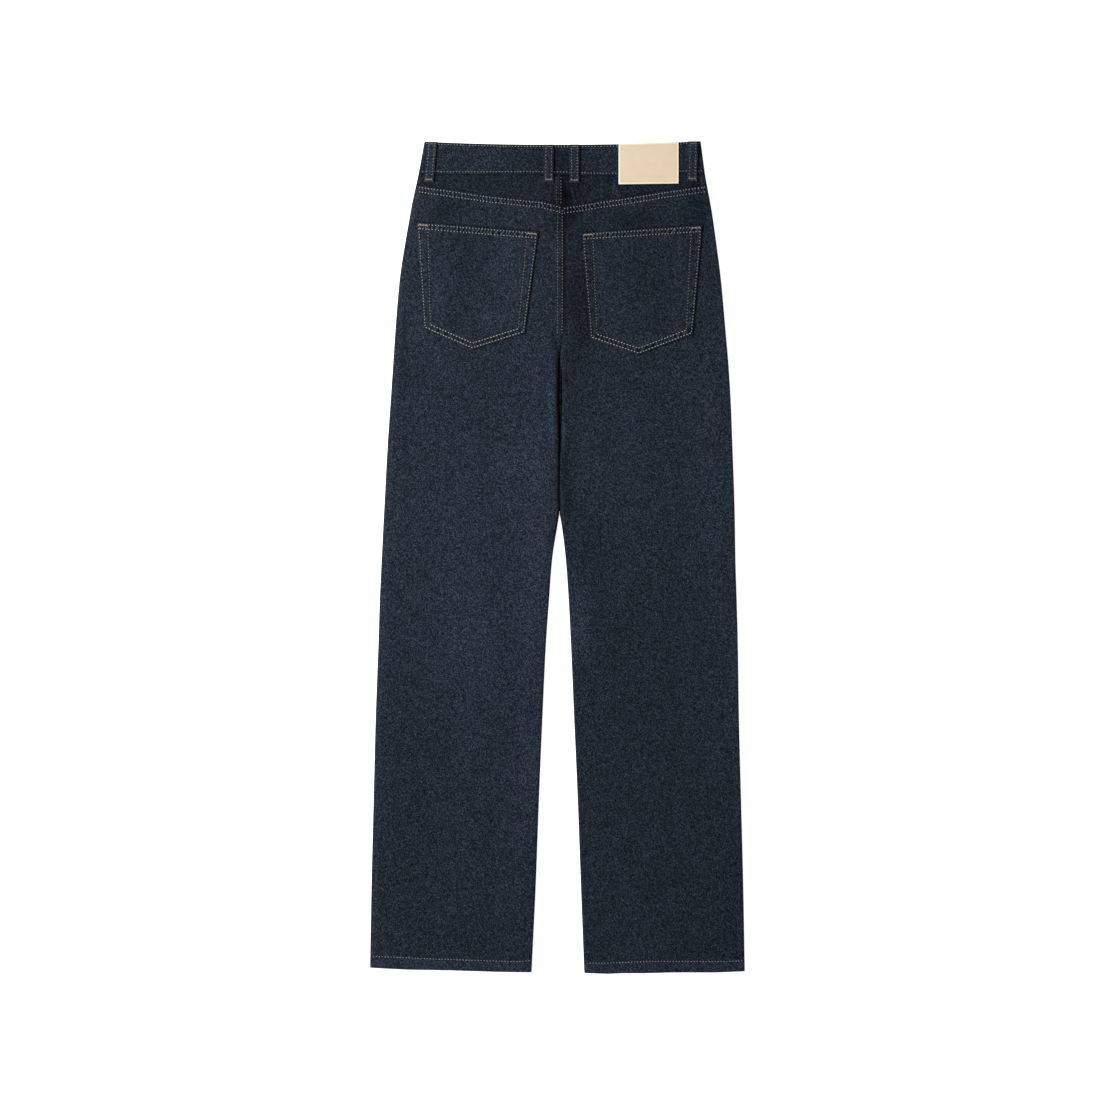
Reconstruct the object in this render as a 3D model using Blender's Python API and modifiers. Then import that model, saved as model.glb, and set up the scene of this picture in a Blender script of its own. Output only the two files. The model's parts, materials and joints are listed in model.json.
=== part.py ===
"""Straight leg jeans, laid flat with the back side up.

Metres, +Z up. The garment rests on z = 0, its waist is toward +Y and its hems toward -Y, and the
origin is at the bottom centre of its box. The tables below are in millimetres: x across the
garment, y along it and heights above the floor. Every piece is a sheet of cloth: a grid whose
points are put on the cloth's outer side, with a wall grown inward.
"""
import math

import bpy
import numpy as np

MM = 0.001

# Cloth and gaps.
DENIM = 1.6             # one layer of denim
HEM_WALL = 2.3          # the hem is folded double
HEM_HEIGHT = 12.5
HEM_RISE = 0.5          # how far the fold stands proud of the leg
LAP_RISE = 0.8          # the same of the felled seams at the yokes and the centre back
YOKE_LAP = 8.5
CENTRE_LAP = 8.5
STEP_START = 1          # how loops and patch step down from the waistband to the yoke
STEP_LENGTH = 5
LAP_FALL = 3
BAND_PRESS = 20         # the waistband presses the centre seam flat over this length
BAND_WALL = 2.3         # the waistband is two layers
LEATHER = 1.3
SEAM_GAP = 0.3          # between pieces that meet at a seam
LYING_GAP = 0.4         # below a piece that lies on others
LEG_SEAM_GAP = 0.6      # the same at outseam and inseam, where the walls' rims lean together
CROTCH_WALL = 1.1       # what the folded-in crotch seams add to the wall beside the crease

# The waist: the underside is carried by the button and the front loops, the back rises over it.
BAND_TOP = 7.4          # height of the waistband's back at its sides
CROWN = 2.1             # what the lapped front ends raise it by at the centre
CROWN_REACH = 170
CROWN_START = 425       # y where the rise begins
CROWN_LENGTH = 70
LIFT = 1.9              # height of the front's underside over button and loops
LIFT_HALF_WIDTH = 112
LIFT_FADE = 50
LIFT_START = 400
LIFT_LENGTH = 55
FRONT_DIP = 14          # the front of the waist is cut lower than the back
WAIST_DIP = 4.5         # the back's top edge dips between its sides
WAIST_EDGE = 536.3      # y of that edge at the centre
WAIST_SEAM = 497.6      # y of the seam below the waistband
WAIST_TILT = 0.013
HALF_WAIST = 175

# How far in from its edges a leg's height changes.
OUTER_REACH = 30
INNER_REACH = 26

# Front pocket openings.
SCOOP_BOTTOM = 412      # y where the opening leaves the side seam
SCOOP_WIDTH = 78        # its width along the waist seam
SCOOP_CURVE = 2.4
FACING_LAP = 16         # how far the facing runs on under the front
FACING_WALL = 1.3
FACING_DEPTH = 2.1      # how much higher it lies there

POCKET_HEM = 8.5
POCKET_HEM_RISE = 0.5
POCKET_PUFF = 0.8

LOOP_WIDTH = 13
LOOP_WALL = 1.6
LOOP_BRIDGE = 0.7       # how far a loop's middle stands off the waistband
LOOP_DROP = 10.5        # how far a loop reaches below the waist seam

BUTTON_RADIUS = 8.5
BUTTON_HEAD = 1.6
BUTTON_SIDES = 28
BUTTONHOLE_RADIUS = 2.9
SHANK_RADIUS = 2.5
LAP_END = 24            # x where the left front's end of the waistband stops
UNDERLAP_END = -24
LAP_JOG_START = 42      # x where the right front's end begins to rise behind it
LAP_JOG = 15
BUTTON_X = 2


def table(columns, rows):
    """A table with named columns, its rows sorted by the first one."""
    values = np.array(sorted(rows), dtype=float)
    return {name: values[:, index] for index, name in enumerate(columns.split())}


# The garment's edges at stations from hem to waist.
OUTLINE = table("y left_outer left_inner right_inner right_outer", [
    (-542, -243.4, -34.0, 35.0, 243.6),
    (-420, -241.2, -28.2, 30.3, 241.4),
    (-315, -238.6, -24.3, 26.4, 238.7),
    (-211, -236.0, -19.9, 21.8, 236.0),
    (-107, -232.2, -14.9, 17.3, 234.4),
    (-55, -230.6, -11.2, 14.6, 233.0),
    (-3, -228.2, -7.2, 10.9, 231.4),
    (49, -225.6, 0.8, 4.6, 230.6),
    (60, -225.0, 2.4, 2.7, 230.4),
    (153, -220.0, 2.6, 2.9, 227.2),
    (205, -216.4, 1.7, 2.0, 225.2),
    (257, -212.9, 1.8, 2.1, 221.9),
    (290, -210.7, 5.8, 6.1, 219.0),
    (361, -204.8, 6.2, 6.5, 212.6),
    (413, -197.0, 6.2, 6.5, 206.0),
    (465, -187.8, 6.2, 6.5, 198.2),
    (498, -180.5, 6.2, 6.5, 192.0),
    (541, -174.2, 6.2, 6.5, 188.0),
])

# Heights of the back's outer side: over the panel, where it turns down at the outer edge, and at
# the inner edge. Roll is how far the inner edge turns down into the crease between the legs.
HEIGHTS = table("y over_panel outer_edge inner_edge roll", [
    (-542, 6.9, 6.2, 6.2, 1.0),
    (-300, 6.7, 6.0, 6.0, 1.0),
    (0, 6.8, 6.0, 6.6, 1.0),
    (60, 6.9, 6.0, 8.0, 1.0),
    (150, 7.0, 6.0, 9.0, 1.0),
    (225, 7.0, 6.0, 9.0, 1.0),
    (262, 7.0, 6.0, 8.4, 0.7),
    (290, 7.0, 6.1, 7.6, 0.1),
    (312, 7.0, 6.2, 7.0, 0.0),
    (430, 7.0, 6.2, 7.0, 0.0),
    (498, 6.8, 6.2, 6.8, 0.0),
    (541, 6.8, 6.2, 6.8, 0.0),
])

# The hem's edge and the seam where the back panels lap over the yokes.
HEM_EDGE = table("x y", [
    (-243, -531.8), (-195, -534.6), (-140, -535.8), (-85, -537.3), (-34, -538.4),
    (36, -539.0), (70, -540.8), (140, -540.9), (200, -539.4), (243, -537.6),
])
YOKE_SEAM = table("x y", [
    (-184, 483.4), (-121, 474.4), (-85, 469.2), (-20, 462.4), (4, 456.2),
    (8, 455.8), (36, 460.1), (57, 463.7), (94, 468.9), (143, 477.2), (195, 484.4),
])

# The corners of the back pockets.
POCKET_CORNERS = {
    "left": {"top_left": (-182.4, 436.6), "top_right": (-25.2, 424.2), "low_right": (-42.8, 291.3),
             "tip": (-109.2, 270.4), "low_left": (-173.4, 298.7)},
    "right": {"top_left": (32.4, 422.6), "top_right": (187.2, 432.6), "low_right": (174.9, 290.6),
              "tip": (107.0, 264.6), "low_left": (43.6, 286.1)},
}

# Belt loops on the back, and the leather patch.
BACK_LOOPS = {
    "belt_loop_back_left": {"top_x": -162.9, "bottom_x": -167.4},
    "belt_loop_centre_left": {"top_x": -11.4, "bottom_x": -11.6},
    "belt_loop_centre_right": {"top_x": 22.0, "bottom_x": 21.8},
    "belt_loop_back_right": {"top_x": 176.2, "bottom_x": 174.9},
}
FRONT_LOOPS = {"belt_loop_front_left": -92, "belt_loop_front_right": 96}
PATCH = {"left": 78.8, "right": 158.5, "low_left": 484.6, "low_right": 485.9, "top_margin": 0.4}

# Grid stations. Across a panel, 0 to 1 runs up round the outer edge, 1 to 2 over the panel and
# 2 to 3 down round the inner edge.
# The short first step of a turn keeps the wall's rim level.
TURN_STATIONS = [0, 0.05, 0.36, 0.68]
BACK_STATIONS = [1, 1.04, 1.08, 1.13, 1.22, 1.33, 1.44, 1.55, 1.66, 1.77, 1.87, 1.955, 1.975, 2]
FRONT_STATIONS = [1, 1.12, 1.3, 1.5, 1.7, 1.87, 2]
HEM_STATION = -538
BACK_TOP_STATION = 470
FRONT_TOP_STATION = 498
BEND_REACH = 170        # how far from hem and seam the grid's rows bend to follow them
SETTLE_ROUNDS = 6       # x and y of a point depend on each other, and settle in a few rounds

# Linear colours of the finishes.
DENIM_COLOUR = (0.022, 0.028, 0.041)
POCKET_COLOUR = (0.024, 0.030, 0.043)
LEATHER_COLOUR = (0.86, 0.72, 0.53)
BUTTON_COLOUR = (0.30, 0.22, 0.14)


def ease(value):
    """0 below 0, 1 above 1, and a smooth step between."""
    value = min(max(value, 0.0), 1.0)
    return value * value * (3 - 2 * value)


def blend(start, end, share):
    return start + (end - start) * share


def smooth_slopes(stations, values):
    """Slopes that carry a curve through the values without swinging past any of them."""
    runs = np.diff(values) / np.diff(stations)
    before, after = runs[:-1], runs[1:]
    same_way = before * after > 0
    total = np.where(same_way, before + after, 1)
    inner = np.where(same_way, 2 * before * after / total, 0)
    return np.concatenate(([runs[0]], inner, [runs[-1]]))


def along_table(rows, column, station):
    """The column's value at a station, on a smooth curve through the table's rows."""
    stations = next(iter(rows.values()))
    values = rows[column]
    slopes = smooth_slopes(stations, values)
    station = min(max(station, stations[0]), stations[-1])
    index = min(int(np.searchsorted(stations, station, side="right")) - 1, len(stations) - 2)
    span = stations[index + 1] - stations[index]
    t = (station - stations[index]) / span
    return float((1 + 2 * t) * (1 - t) ** 2 * values[index]
                 + t * (1 - t) ** 2 * span * slopes[index]
                 + t * t * (3 - 2 * t) * values[index + 1]
                 + t * t * (t - 1) * span * slopes[index + 1])


def on_line(rows, x):
    """y of a seam or an edge at x, on straight runs between the table's points."""
    return float(np.interp(x, rows["x"], rows["y"]))


def cosine_hump(x, reach):
    return math.cos(math.pi / 2 * min(abs(x) / reach, 1)) ** 2


def lift(x, y):
    """Height of the front's underside: the floor, but for the waist over button and loops."""
    across = 1 - ease((abs(x) - LIFT_HALF_WIDTH) / LIFT_FADE)
    return LIFT * across * ease((y - LIFT_START) / LIFT_LENGTH)


def crown(x, y):
    """What the lapped front ends raise the back of the waist by."""
    return CROWN * cosine_hump(x, CROWN_REACH) * ease((y - CROWN_START) / CROWN_LENGTH)


def waist_edge(x, front=False):
    dip = FRONT_DIP * cosine_hump(x, HALF_WAIST) if front else 0
    return WAIST_EDGE + WAIST_DIP * (x / HALF_WAIST) ** 2 - dip


def waist_seam(x, front=False):
    dip = FRONT_DIP * cosine_hump(x, HALF_WAIST) if front else 0
    return WAIST_SEAM + WAIST_TILT * x - dip


def band_top(x):
    return BAND_TOP + CROWN * cosine_hump(x, CROWN_REACH)


def edge_x(side, edge, y):
    return along_table(OUTLINE, f"{side}_{edge}", y)


def centre_lap(side, x, y):
    """1 on the felled seam down the centre back, where the left side laps over the right."""
    if side == "right":
        return 0
    from_seam = edge_x(side, "inner", y) - x
    unrolled = 1 - min(max(along_table(HEIGHTS, "roll", y), 0), 1)
    below_band = ease((waist_seam(x) - y) / BAND_PRESS)
    return unrolled * below_band * (1 - ease((from_seam - CENTRE_LAP) / LAP_FALL))


def yoke_lap(x, y):
    """1 on the felled seam where a back panel laps over its yoke."""
    below_seam = on_line(YOKE_SEAM, x) - y
    return 1 - ease((below_seam - YOKE_LAP) / LAP_FALL) if below_seam > 0 else 0


def hem_fold(x, y):
    return 1 - ease(y - on_line(HEM_EDGE, x) - HEM_HEIGHT)


def back_height(side, x, y):
    """Height of the outer side of a yoke or a back panel."""
    over_panel = along_table(HEIGHTS, "over_panel", y)
    from_outer = abs(x - edge_x(side, "outer", y)) / OUTER_REACH
    from_inner = abs(x - edge_x(side, "inner", y)) / INNER_REACH
    outer_drop = (over_panel - along_table(HEIGHTS, "outer_edge", y)) * (1 - ease(from_outer))
    inner_rise = (along_table(HEIGHTS, "inner_edge", y) - over_panel) * (1 - ease(from_inner))
    laps = LAP_RISE * max(centre_lap(side, x, y), yoke_lap(x, y)) + HEM_RISE * hem_fold(x, y)
    return over_panel - outer_drop + inner_rise + crown(x, y) + laps


def crotch_wall(side, x, y):
    """What the wall gains beside the crease, where the crotch seams are folded in."""
    from_inner = abs(x - edge_x(side, "inner", y)) / INNER_REACH
    rise = along_table(HEIGHTS, "inner_edge", y) - along_table(HEIGHTS, "over_panel", y)
    return min(max(rise / 2, 0), CROTCH_WALL) * (1 - ease(from_inner))


def back_wall(side, x, y):
    lapped = LAP_RISE * max(centre_lap(side, x, y), yoke_lap(x, y))
    hem = (HEM_WALL - DENIM) * hem_fold(x, y)
    return DENIM + max(lapped, hem, crotch_wall(side, x, y))


def front_wall(side, x, y):
    hem = (HEM_WALL - DENIM) * hem_fold(x, y)
    return DENIM + max(hem, crotch_wall(side, x, y))


def side_of(x, y):
    return "left" if x < edge_x("left", "inner", y) else "right"


def seat_surface(x, y):
    """Height that cloth on the waistband lies at, and where it steps down to the yoke."""
    below_seam = waist_seam(x) - y
    yoke = back_height(side_of(x, y), x, y)
    return blend(band_top(x), yoke, ease((below_seam - STEP_START) / STEP_LENGTH))


def section(side, layer, across, y, outer=None, roll_outer=1.0):
    """Where a panel's outer side is at one station across it: x and height."""
    outer = edge_x(side, "outer", y) if outer is None else outer
    inner = edge_x(side, "inner", y)
    inward = math.copysign(1, inner - outer)
    outer_seam = along_table(HEIGHTS, "outer_edge", y) / 2
    inner_seam = along_table(HEIGHTS, "inner_edge", y) / 2
    roll_inner = min(max(along_table(HEIGHTS, "roll", y), 0), 1)
    if across <= 1:
        angle = across * math.pi / 2
        rolled = 1 - math.cos(angle)
        x = outer + inward * outer_seam * blend(across, rolled, roll_outer)
        turned_down, seam = roll_outer * (1 - math.sin(angle)), outer_seam
    elif across < 2:
        x = blend(outer + inward * outer_seam, inner - inward * inner_seam, across - 1)
        turned_down, seam = 0, inner_seam
    else:
        angle = (3 - across) * math.pi / 2
        rolled = 1 - math.cos(angle)
        x = inner - inward * inner_seam * blend(3 - across, rolled, roll_inner)
        turned_down, seam = roll_inner * (1 - math.sin(angle)), inner_seam
    if layer == "back":
        flat, seam = back_height(side, x, y), seam + LEG_SEAM_GAP / 2
    else:
        flat, seam = lift(x, y), seam - LEG_SEAM_GAP / 2
    return x, blend(flat, seam, turned_down)


def row_y(station, x, top_line, top_station):
    """y of a grid row at x: rows bend to follow the hem below and the seam above."""
    near_hem = 1 - ease((station - HEM_STATION) / BEND_REACH)
    near_top = ease((station - top_station + BEND_REACH) / BEND_REACH)
    return (station + near_hem * (on_line(HEM_EDGE, x) - HEM_STATION)
            + near_top * (top_line(x) - top_station))


def make_material(name, colour, roughness, metallic=0.0):
    material = bpy.data.materials.new(name)
    material.use_nodes = True
    shader = material.node_tree.nodes["Principled BSDF"]
    shader.inputs["Base Color"].default_value = (*colour, 1)
    shader.inputs["Roughness"].default_value = roughness
    shader.inputs["Metallic"].default_value = metallic
    return material


def add_piece(piece, name, colour, roughness=0.85, metallic=0.0):
    """Name a piece, give it its material and put it in the garment's collection."""
    piece.name = name
    piece.data.name = name
    piece.data.materials.clear()
    piece.data.materials.append(make_material(name, colour, roughness, metallic))
    for collection in list(piece.users_collection):
        collection.objects.unlink(piece)
    bpy.data.collections["straight_leg_jeans"].objects.link(piece)
    piece.parent = bpy.data.objects["jeans"]
    return piece


def sew(name, columns, rows, place, wall, colour=DENIM_COLOUR, local_wall=None):
    """A piece of cloth: place gives the outer side at a column and a row, wall grows inward."""
    bpy.ops.mesh.primitive_grid_add(
        x_subdivisions=len(columns) - 1, y_subdivisions=len(rows) - 1, size=1)
    piece = bpy.context.active_object
    thickness = piece.vertex_groups.new(name="wall")
    for vertex in piece.data.vertices:
        column = columns[round((vertex.co.x + 0.5) * (len(columns) - 1))]
        row = rows[round((vertex.co.y + 0.5) * (len(rows) - 1))]
        x, y, z = place(column, row)
        here = local_wall(x, y) if local_wall else wall
        thickness.add([vertex.index], here / wall, "REPLACE")
        vertex.co = (x * MM, y * MM, z * MM)
    solidify = piece.modifiers.new("wall", "SOLIDIFY")
    solidify.thickness = wall * MM
    solidify.offset = -1
    solidify.use_even_offset = True
    solidify.vertex_group = thickness.name
    return add_piece(piece, name, colour)


def across_panel(side, stations):
    """Stations round both turns, in the order that makes a back piece face up."""
    far_turn = [3 - station for station in reversed(TURN_STATIONS)]
    return left_to_right(side, TURN_STATIONS + stations + far_turn)


def left_to_right(side, stations):
    return list(stations) if side == "left" else list(reversed(stations))


def panel_rows(top_station, count):
    """Two rows for the hem, then even ones up to the station."""
    fold = HEM_STATION + HEM_HEIGHT
    even = [blend(fold + 1, top_station, step / count) for step in range(count + 1)]
    return [HEM_STATION, fold] + even


def back_panel(side):
    def seam(x):
        return on_line(YOKE_SEAM, x) - SEAM_GAP / 2

    def place(across, station):
        y = station
        for _ in range(SETTLE_ROUNDS):
            x, _height = section(side, "back", across, y)
            y = row_y(station, x, seam, BACK_TOP_STATION)
        x, height = section(side, "back", across, y)
        return x, y, height

    lap_start = BACK_TOP_STATION - YOKE_LAP
    rows = panel_rows(lap_start - LAP_FALL, 35) + [lap_start, BACK_TOP_STATION]
    sew(f"back_panel_{side}", across_panel(side, BACK_STATIONS), rows, place,
        DENIM + CROTCH_WALL, local_wall=lambda x, y: back_wall(side, x, y))


def yoke(side):
    def place(across, share):
        y = WAIST_SEAM
        for _ in range(SETTLE_ROUNDS):
            x, _height = section(side, "back", across, y)
            y = blend(on_line(YOKE_SEAM, x) + SEAM_GAP / 2, waist_seam(x) - SEAM_GAP / 2, share)
        x, height = section(side, "back", across, y)
        return x, y, height

    sew(f"yoke_{side}", across_panel(side, BACK_STATIONS), [0, 0.5, 1], place,
        DENIM + LAP_RISE, local_wall=lambda x, y: back_wall(side, x, y))


def scoop_x(side, y):
    """The front pocket's opening: from the side seam it sweeps in and up to the waist."""
    outer = edge_x(side, "outer", y)
    rise = min(max((y - SCOOP_BOTTOM) / (waist_seam(outer) - SCOOP_BOTTOM), 0), 1)
    sweep = (1 - (1 - rise) ** SCOOP_CURVE) ** (1 / SCOOP_CURVE)
    return outer + math.copysign(SCOOP_WIDTH * sweep, -outer)


def front_seam(x):
    return waist_seam(x, front=True) - SEAM_GAP / 2


def front_panel(side):
    def place(across, station):
        y = station
        for _ in range(SETTLE_ROUNDS):
            in_scoop = y > SCOOP_BOTTOM
            outer = scoop_x(side, y) if in_scoop else None
            x, height = section(side, "front", across, y, outer, 0.0 if in_scoop else 1.0)
            y = row_y(station, x, front_seam, FRONT_TOP_STATION)
        return x, y, height

    scoop_rise = FRONT_TOP_STATION - SCOOP_BOTTOM
    scoop_rows = [SCOOP_BOTTOM + 1 + (scoop_rise - 1) * share
                  for share in (0, 0.04, 0.1, 0.18, 0.28, 0.4, 0.55, 0.7, 0.85, 1)]
    rows = panel_rows(SCOOP_BOTTOM - 1, 26) + scoop_rows
    sew(f"front_panel_{side}", across_panel(side, FRONT_STATIONS)[::-1], rows, place,
        DENIM + CROTCH_WALL, local_wall=lambda x, y: front_wall(side, x, y))


def front_pocket_facing(side):
    """The denim behind the scoop: level with the front at the side seam, under it further in."""
    stations = TURN_STATIONS + [1, 1.15, 1.3, 1.45, 1.6, 1.75, 1.9, 2]

    def place(across, share):
        y = blend(SCOOP_BOTTOM + 2, front_seam(0), share)
        for _ in range(SETTLE_ROUNDS):
            outer = edge_x(side, "outer", y)
            inward = -math.copysign(1, outer)
            seam = along_table(HEIGHTS, "outer_edge", y) / 2
            inner = scoop_x(side, y) + inward * FACING_LAP
            if across <= 1:
                x = outer + inward * seam * (1 - math.cos(across * math.pi / 2))
            else:
                x = blend(outer + inward * seam, inner, across - 1)
            y = blend(SCOOP_BOTTOM + 2, front_seam(x), share)
        to_opening = abs(scoop_x(side, y) - outer)
        inside = FACING_DEPTH * ease((abs(x - outer) / max(to_opening, 1) - 0.35) / 0.5)
        turned_down = 1 - math.sin(min(across, 1) * math.pi / 2)
        return x, y, blend(lift(x, y) + inside, seam - LEG_SEAM_GAP / 2, turned_down)

    shares = [0, 0.04, 0.1, 0.18, 0.28, 0.4, 0.55, 0.7, 0.85, 1]
    sew(f"front_pocket_facing_{side}", left_to_right(side, stations)[::-1], shares, place,
        FACING_WALL)


def waistband():
    """One strip round the waist. Its ends lap at the centre front, the left front's outside."""
    front_steps, back_steps, turn_steps = 14, 24, 6
    stations = ([("front_left", step / front_steps) for step in range(front_steps)]
                + [("turn_left", step / turn_steps) for step in range(turn_steps)]
                + [("back", step / back_steps) for step in range(back_steps)]
                + [("turn_right", step / turn_steps) for step in range(turn_steps)]
                + [("front_right", step / front_steps) for step in range(front_steps + 1)])
    turn = BAND_TOP / 2
    lap_shift = BAND_WALL + SEAM_GAP

    def around(part, share, y):
        """x and height of the strip's outer side, round from the lap's end to the underlap's."""
        left = edge_x("left", "outer", y)
        right = edge_x("right", "outer", y)
        if part == "front_left":
            x = blend(LAP_END, left + turn, share)
            return x, lift(x, y)
        if part == "turn_left":
            angle = share * math.pi
            return left + turn - turn * math.sin(angle), turn - turn * math.cos(angle)
        if part == "back":
            x = blend(left + turn, right - turn, share)
            return x, band_top(x)
        if part == "turn_right":
            angle = share * math.pi
            return right - turn + turn * math.sin(angle), turn + turn * math.cos(angle)
        x = blend(right - turn, UNDERLAP_END, share)
        return x, lift(x, y) + lap_shift * ease((LAP_JOG_START - x) / LAP_JOG)

    def place(station, share):
        part, along = station
        front = part.startswith("front")
        y = WAIST_SEAM
        for _ in range(SETTLE_ROUNDS):
            x, height = around(part, along, y)
            y = blend(waist_seam(x, front) + SEAM_GAP / 2, waist_edge(x, front), share)
        return x, y, height

    return sew("waistband", stations, [0, 0.5, 1], place, BAND_WALL)


def back_pocket(side):
    corners = POCKET_CORNERS[side]

    def between(start, end, share):
        return np.array([blend(a, b, share) for a, b in zip(corners[start], corners[end])])

    def place(share, rise):
        if share < 0.5:
            low = between("low_left", "tip", 2 * share)
        else:
            low = between("tip", "low_right", 2 * share - 1)
        top = between("top_left", "top_right", share)
        x, y = low + (top - low) * rise
        puff = POCKET_PUFF * math.sin(math.pi * share) ** 0.8 * math.sin(math.pi * rise) ** 0.8
        hem = POCKET_HEM_RISE if rise > hem_start else 0
        return x, y, back_height(side, x, y) + LYING_GAP + DENIM + puff + hem

    depth = corners["top_left"][1] - corners["low_left"][1]
    hem_start = 1 - POCKET_HEM / depth
    hem_step = 0.5 / depth
    rows = [0, 0.06, 0.15, 0.27, 0.4, 0.53, 0.66, 0.79, hem_start - hem_step, hem_start + hem_step, 1]
    sew(f"back_pocket_{side}", [step / 14 for step in range(15)], rows, place, DENIM,
        POCKET_COLOUR)


def back_loop(name, top_x, bottom_x):
    def place(share, rise):
        middle = blend(bottom_x, top_x, rise)
        bottom = waist_seam(middle) - LOOP_DROP
        x = middle + LOOP_WIDTH * (share - 0.5)
        y = blend(bottom, waist_edge(middle), rise)
        bridge = LOOP_BRIDGE * math.sin(math.pi * rise) ** 0.5
        return x, y, seat_surface(x, y) + LYING_GAP + LOOP_WALL + bridge

    sew(name, [0, 0.25, 0.75, 1], [step / 10 for step in range(11)], place, LOOP_WALL)


def front_loop(name, middle):
    def place(share, rise):
        x = middle - LOOP_WIDTH * (share - 0.5)
        bottom = waist_seam(middle, front=True) - LOOP_DROP
        return x, blend(bottom, waist_edge(middle, front=True), rise), 0

    sew(name, [0, 0.25, 0.75, 1], [step / 4 for step in range(5)], place, LIFT - SEAM_GAP)


def label_patch():
    def place(share, rise):
        x = blend(PATCH["left"], PATCH["right"], share)
        bottom = blend(PATCH["low_left"], PATCH["low_right"], share)
        y = blend(bottom, waist_edge(x) - PATCH["top_margin"], rise)
        return x, y, seat_surface(x, y) + LYING_GAP + LEATHER

    steps = [step / 8 for step in range(9)]
    sew("label_patch", steps, steps, place, LEATHER, LEATHER_COLOUR)


def waist_button(middle):
    """A turned button: its head is under the lap's end and its shank goes through the hole."""
    shank_top = LIFT + BAND_WALL
    round_edge = 0.5
    profile = [(0, 0), (BUTTON_RADIUS - round_edge, 0), (BUTTON_RADIUS, round_edge),
               (BUTTON_RADIUS, BUTTON_HEAD - round_edge), (BUTTON_RADIUS - round_edge, BUTTON_HEAD),
               (SHANK_RADIUS, BUTTON_HEAD), (SHANK_RADIUS, shank_top), (0, shank_top)]
    mesh = bpy.data.meshes.new("waist_button")
    mesh.from_pydata([(r * MM, 0, z * MM) for r, z in profile],
                     [(i, i + 1) for i in range(len(profile) - 1)], [])
    button = bpy.data.objects.new("waist_button", mesh)
    bpy.context.collection.objects.link(button)
    screw = button.modifiers.new("turn", "SCREW")
    screw.steps = BUTTON_SIDES
    screw.render_steps = BUTTON_SIDES
    screw.use_merge_vertices = True
    screw.merge_threshold = 0.00005
    screw.use_normal_flip = True
    button.location = (middle[0] * MM, middle[1] * MM, 0)
    return add_piece(button, "waist_button", BUTTON_COLOUR, 0.35, 1.0)


def buttonhole(band, middle):
    """The eyelet that the shank goes through, cut in the lap's end only."""
    depth = LIFT + BAND_WALL + SEAM_GAP / 2
    bpy.ops.mesh.primitive_cylinder_add(
        vertices=20, radius=BUTTONHOLE_RADIUS * MM, depth=depth * MM,
        location=(middle[0] * MM, middle[1] * MM, depth / 2 * MM))
    cutter = bpy.context.active_object
    cutter.name = "buttonhole_cutter"
    cutter.hide_render = True
    cutter.display_type = "WIRE"
    for collection in list(cutter.users_collection):
        collection.objects.unlink(cutter)
    bpy.data.collections["cutters"].objects.link(cutter)
    cut = band.modifiers.new("buttonhole", "BOOLEAN")
    cut.operation = "DIFFERENCE"
    cut.solver = "EXACT"
    cut.object = cutter


def start_scene():
    for old in list(bpy.data.objects):
        bpy.data.objects.remove(old, do_unlink=True)
    for name in ("straight_leg_jeans", "cutters"):
        collection = bpy.data.collections.new(name)
        bpy.context.scene.collection.children.link(collection)
    root = bpy.data.objects.new("jeans", None)
    bpy.data.collections["straight_leg_jeans"].objects.link(root)


def main():
    start_scene()
    for side in ("left", "right"):
        back_panel(side)
        front_panel(side)
        yoke(side)
        back_pocket(side)
        front_pocket_facing(side)
    band = waistband()
    for name, loop in BACK_LOOPS.items():
        back_loop(name, loop["top_x"], loop["bottom_x"])
    for name, middle in FRONT_LOOPS.items():
        front_loop(name, middle)
    label_patch()
    button_y = (waist_seam(BUTTON_X, front=True) + waist_edge(BUTTON_X, front=True)) / 2
    buttonhole(band, (BUTTON_X, button_y))
    waist_button((BUTTON_X, button_y))


main()
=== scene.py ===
# %% [markdown]
# # Straight leg jeans, laid out with the back up
#
# The solids of the jeans are a fixed frame: every panel, loop and pocket has its place and size
# there. This file dresses them. Each cloth piece is made again as a fine, thin shell on its
# solid's form, then come the seams' ridges and puckers, the creases, every stitch, the leather
# patch and the button. Heights and places are worked out in millimetres and put into the mesh
# in metres.

# %% Load the solids
import json
import math
import random
from functools import partial

import bpy
import numpy as np
from mathutils import Matrix, Vector
from mathutils.bvhtree import BVHTree

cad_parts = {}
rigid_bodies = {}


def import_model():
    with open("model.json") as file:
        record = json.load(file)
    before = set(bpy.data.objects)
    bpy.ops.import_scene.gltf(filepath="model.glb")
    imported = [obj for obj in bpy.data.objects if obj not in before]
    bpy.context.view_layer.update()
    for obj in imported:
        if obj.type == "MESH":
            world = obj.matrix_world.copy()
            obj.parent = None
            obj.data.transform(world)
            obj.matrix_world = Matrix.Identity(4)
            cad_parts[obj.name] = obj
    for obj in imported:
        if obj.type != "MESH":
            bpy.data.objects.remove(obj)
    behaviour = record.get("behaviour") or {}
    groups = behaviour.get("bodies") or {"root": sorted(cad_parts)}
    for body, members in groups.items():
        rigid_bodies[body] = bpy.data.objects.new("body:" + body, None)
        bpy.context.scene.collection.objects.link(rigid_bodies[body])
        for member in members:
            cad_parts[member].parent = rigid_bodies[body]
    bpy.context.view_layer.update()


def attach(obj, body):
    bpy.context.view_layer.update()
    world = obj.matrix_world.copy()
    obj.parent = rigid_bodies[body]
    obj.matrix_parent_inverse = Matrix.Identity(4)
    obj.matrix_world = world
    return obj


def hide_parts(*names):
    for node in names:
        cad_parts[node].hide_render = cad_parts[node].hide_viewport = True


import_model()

MM = 0.001
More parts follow.
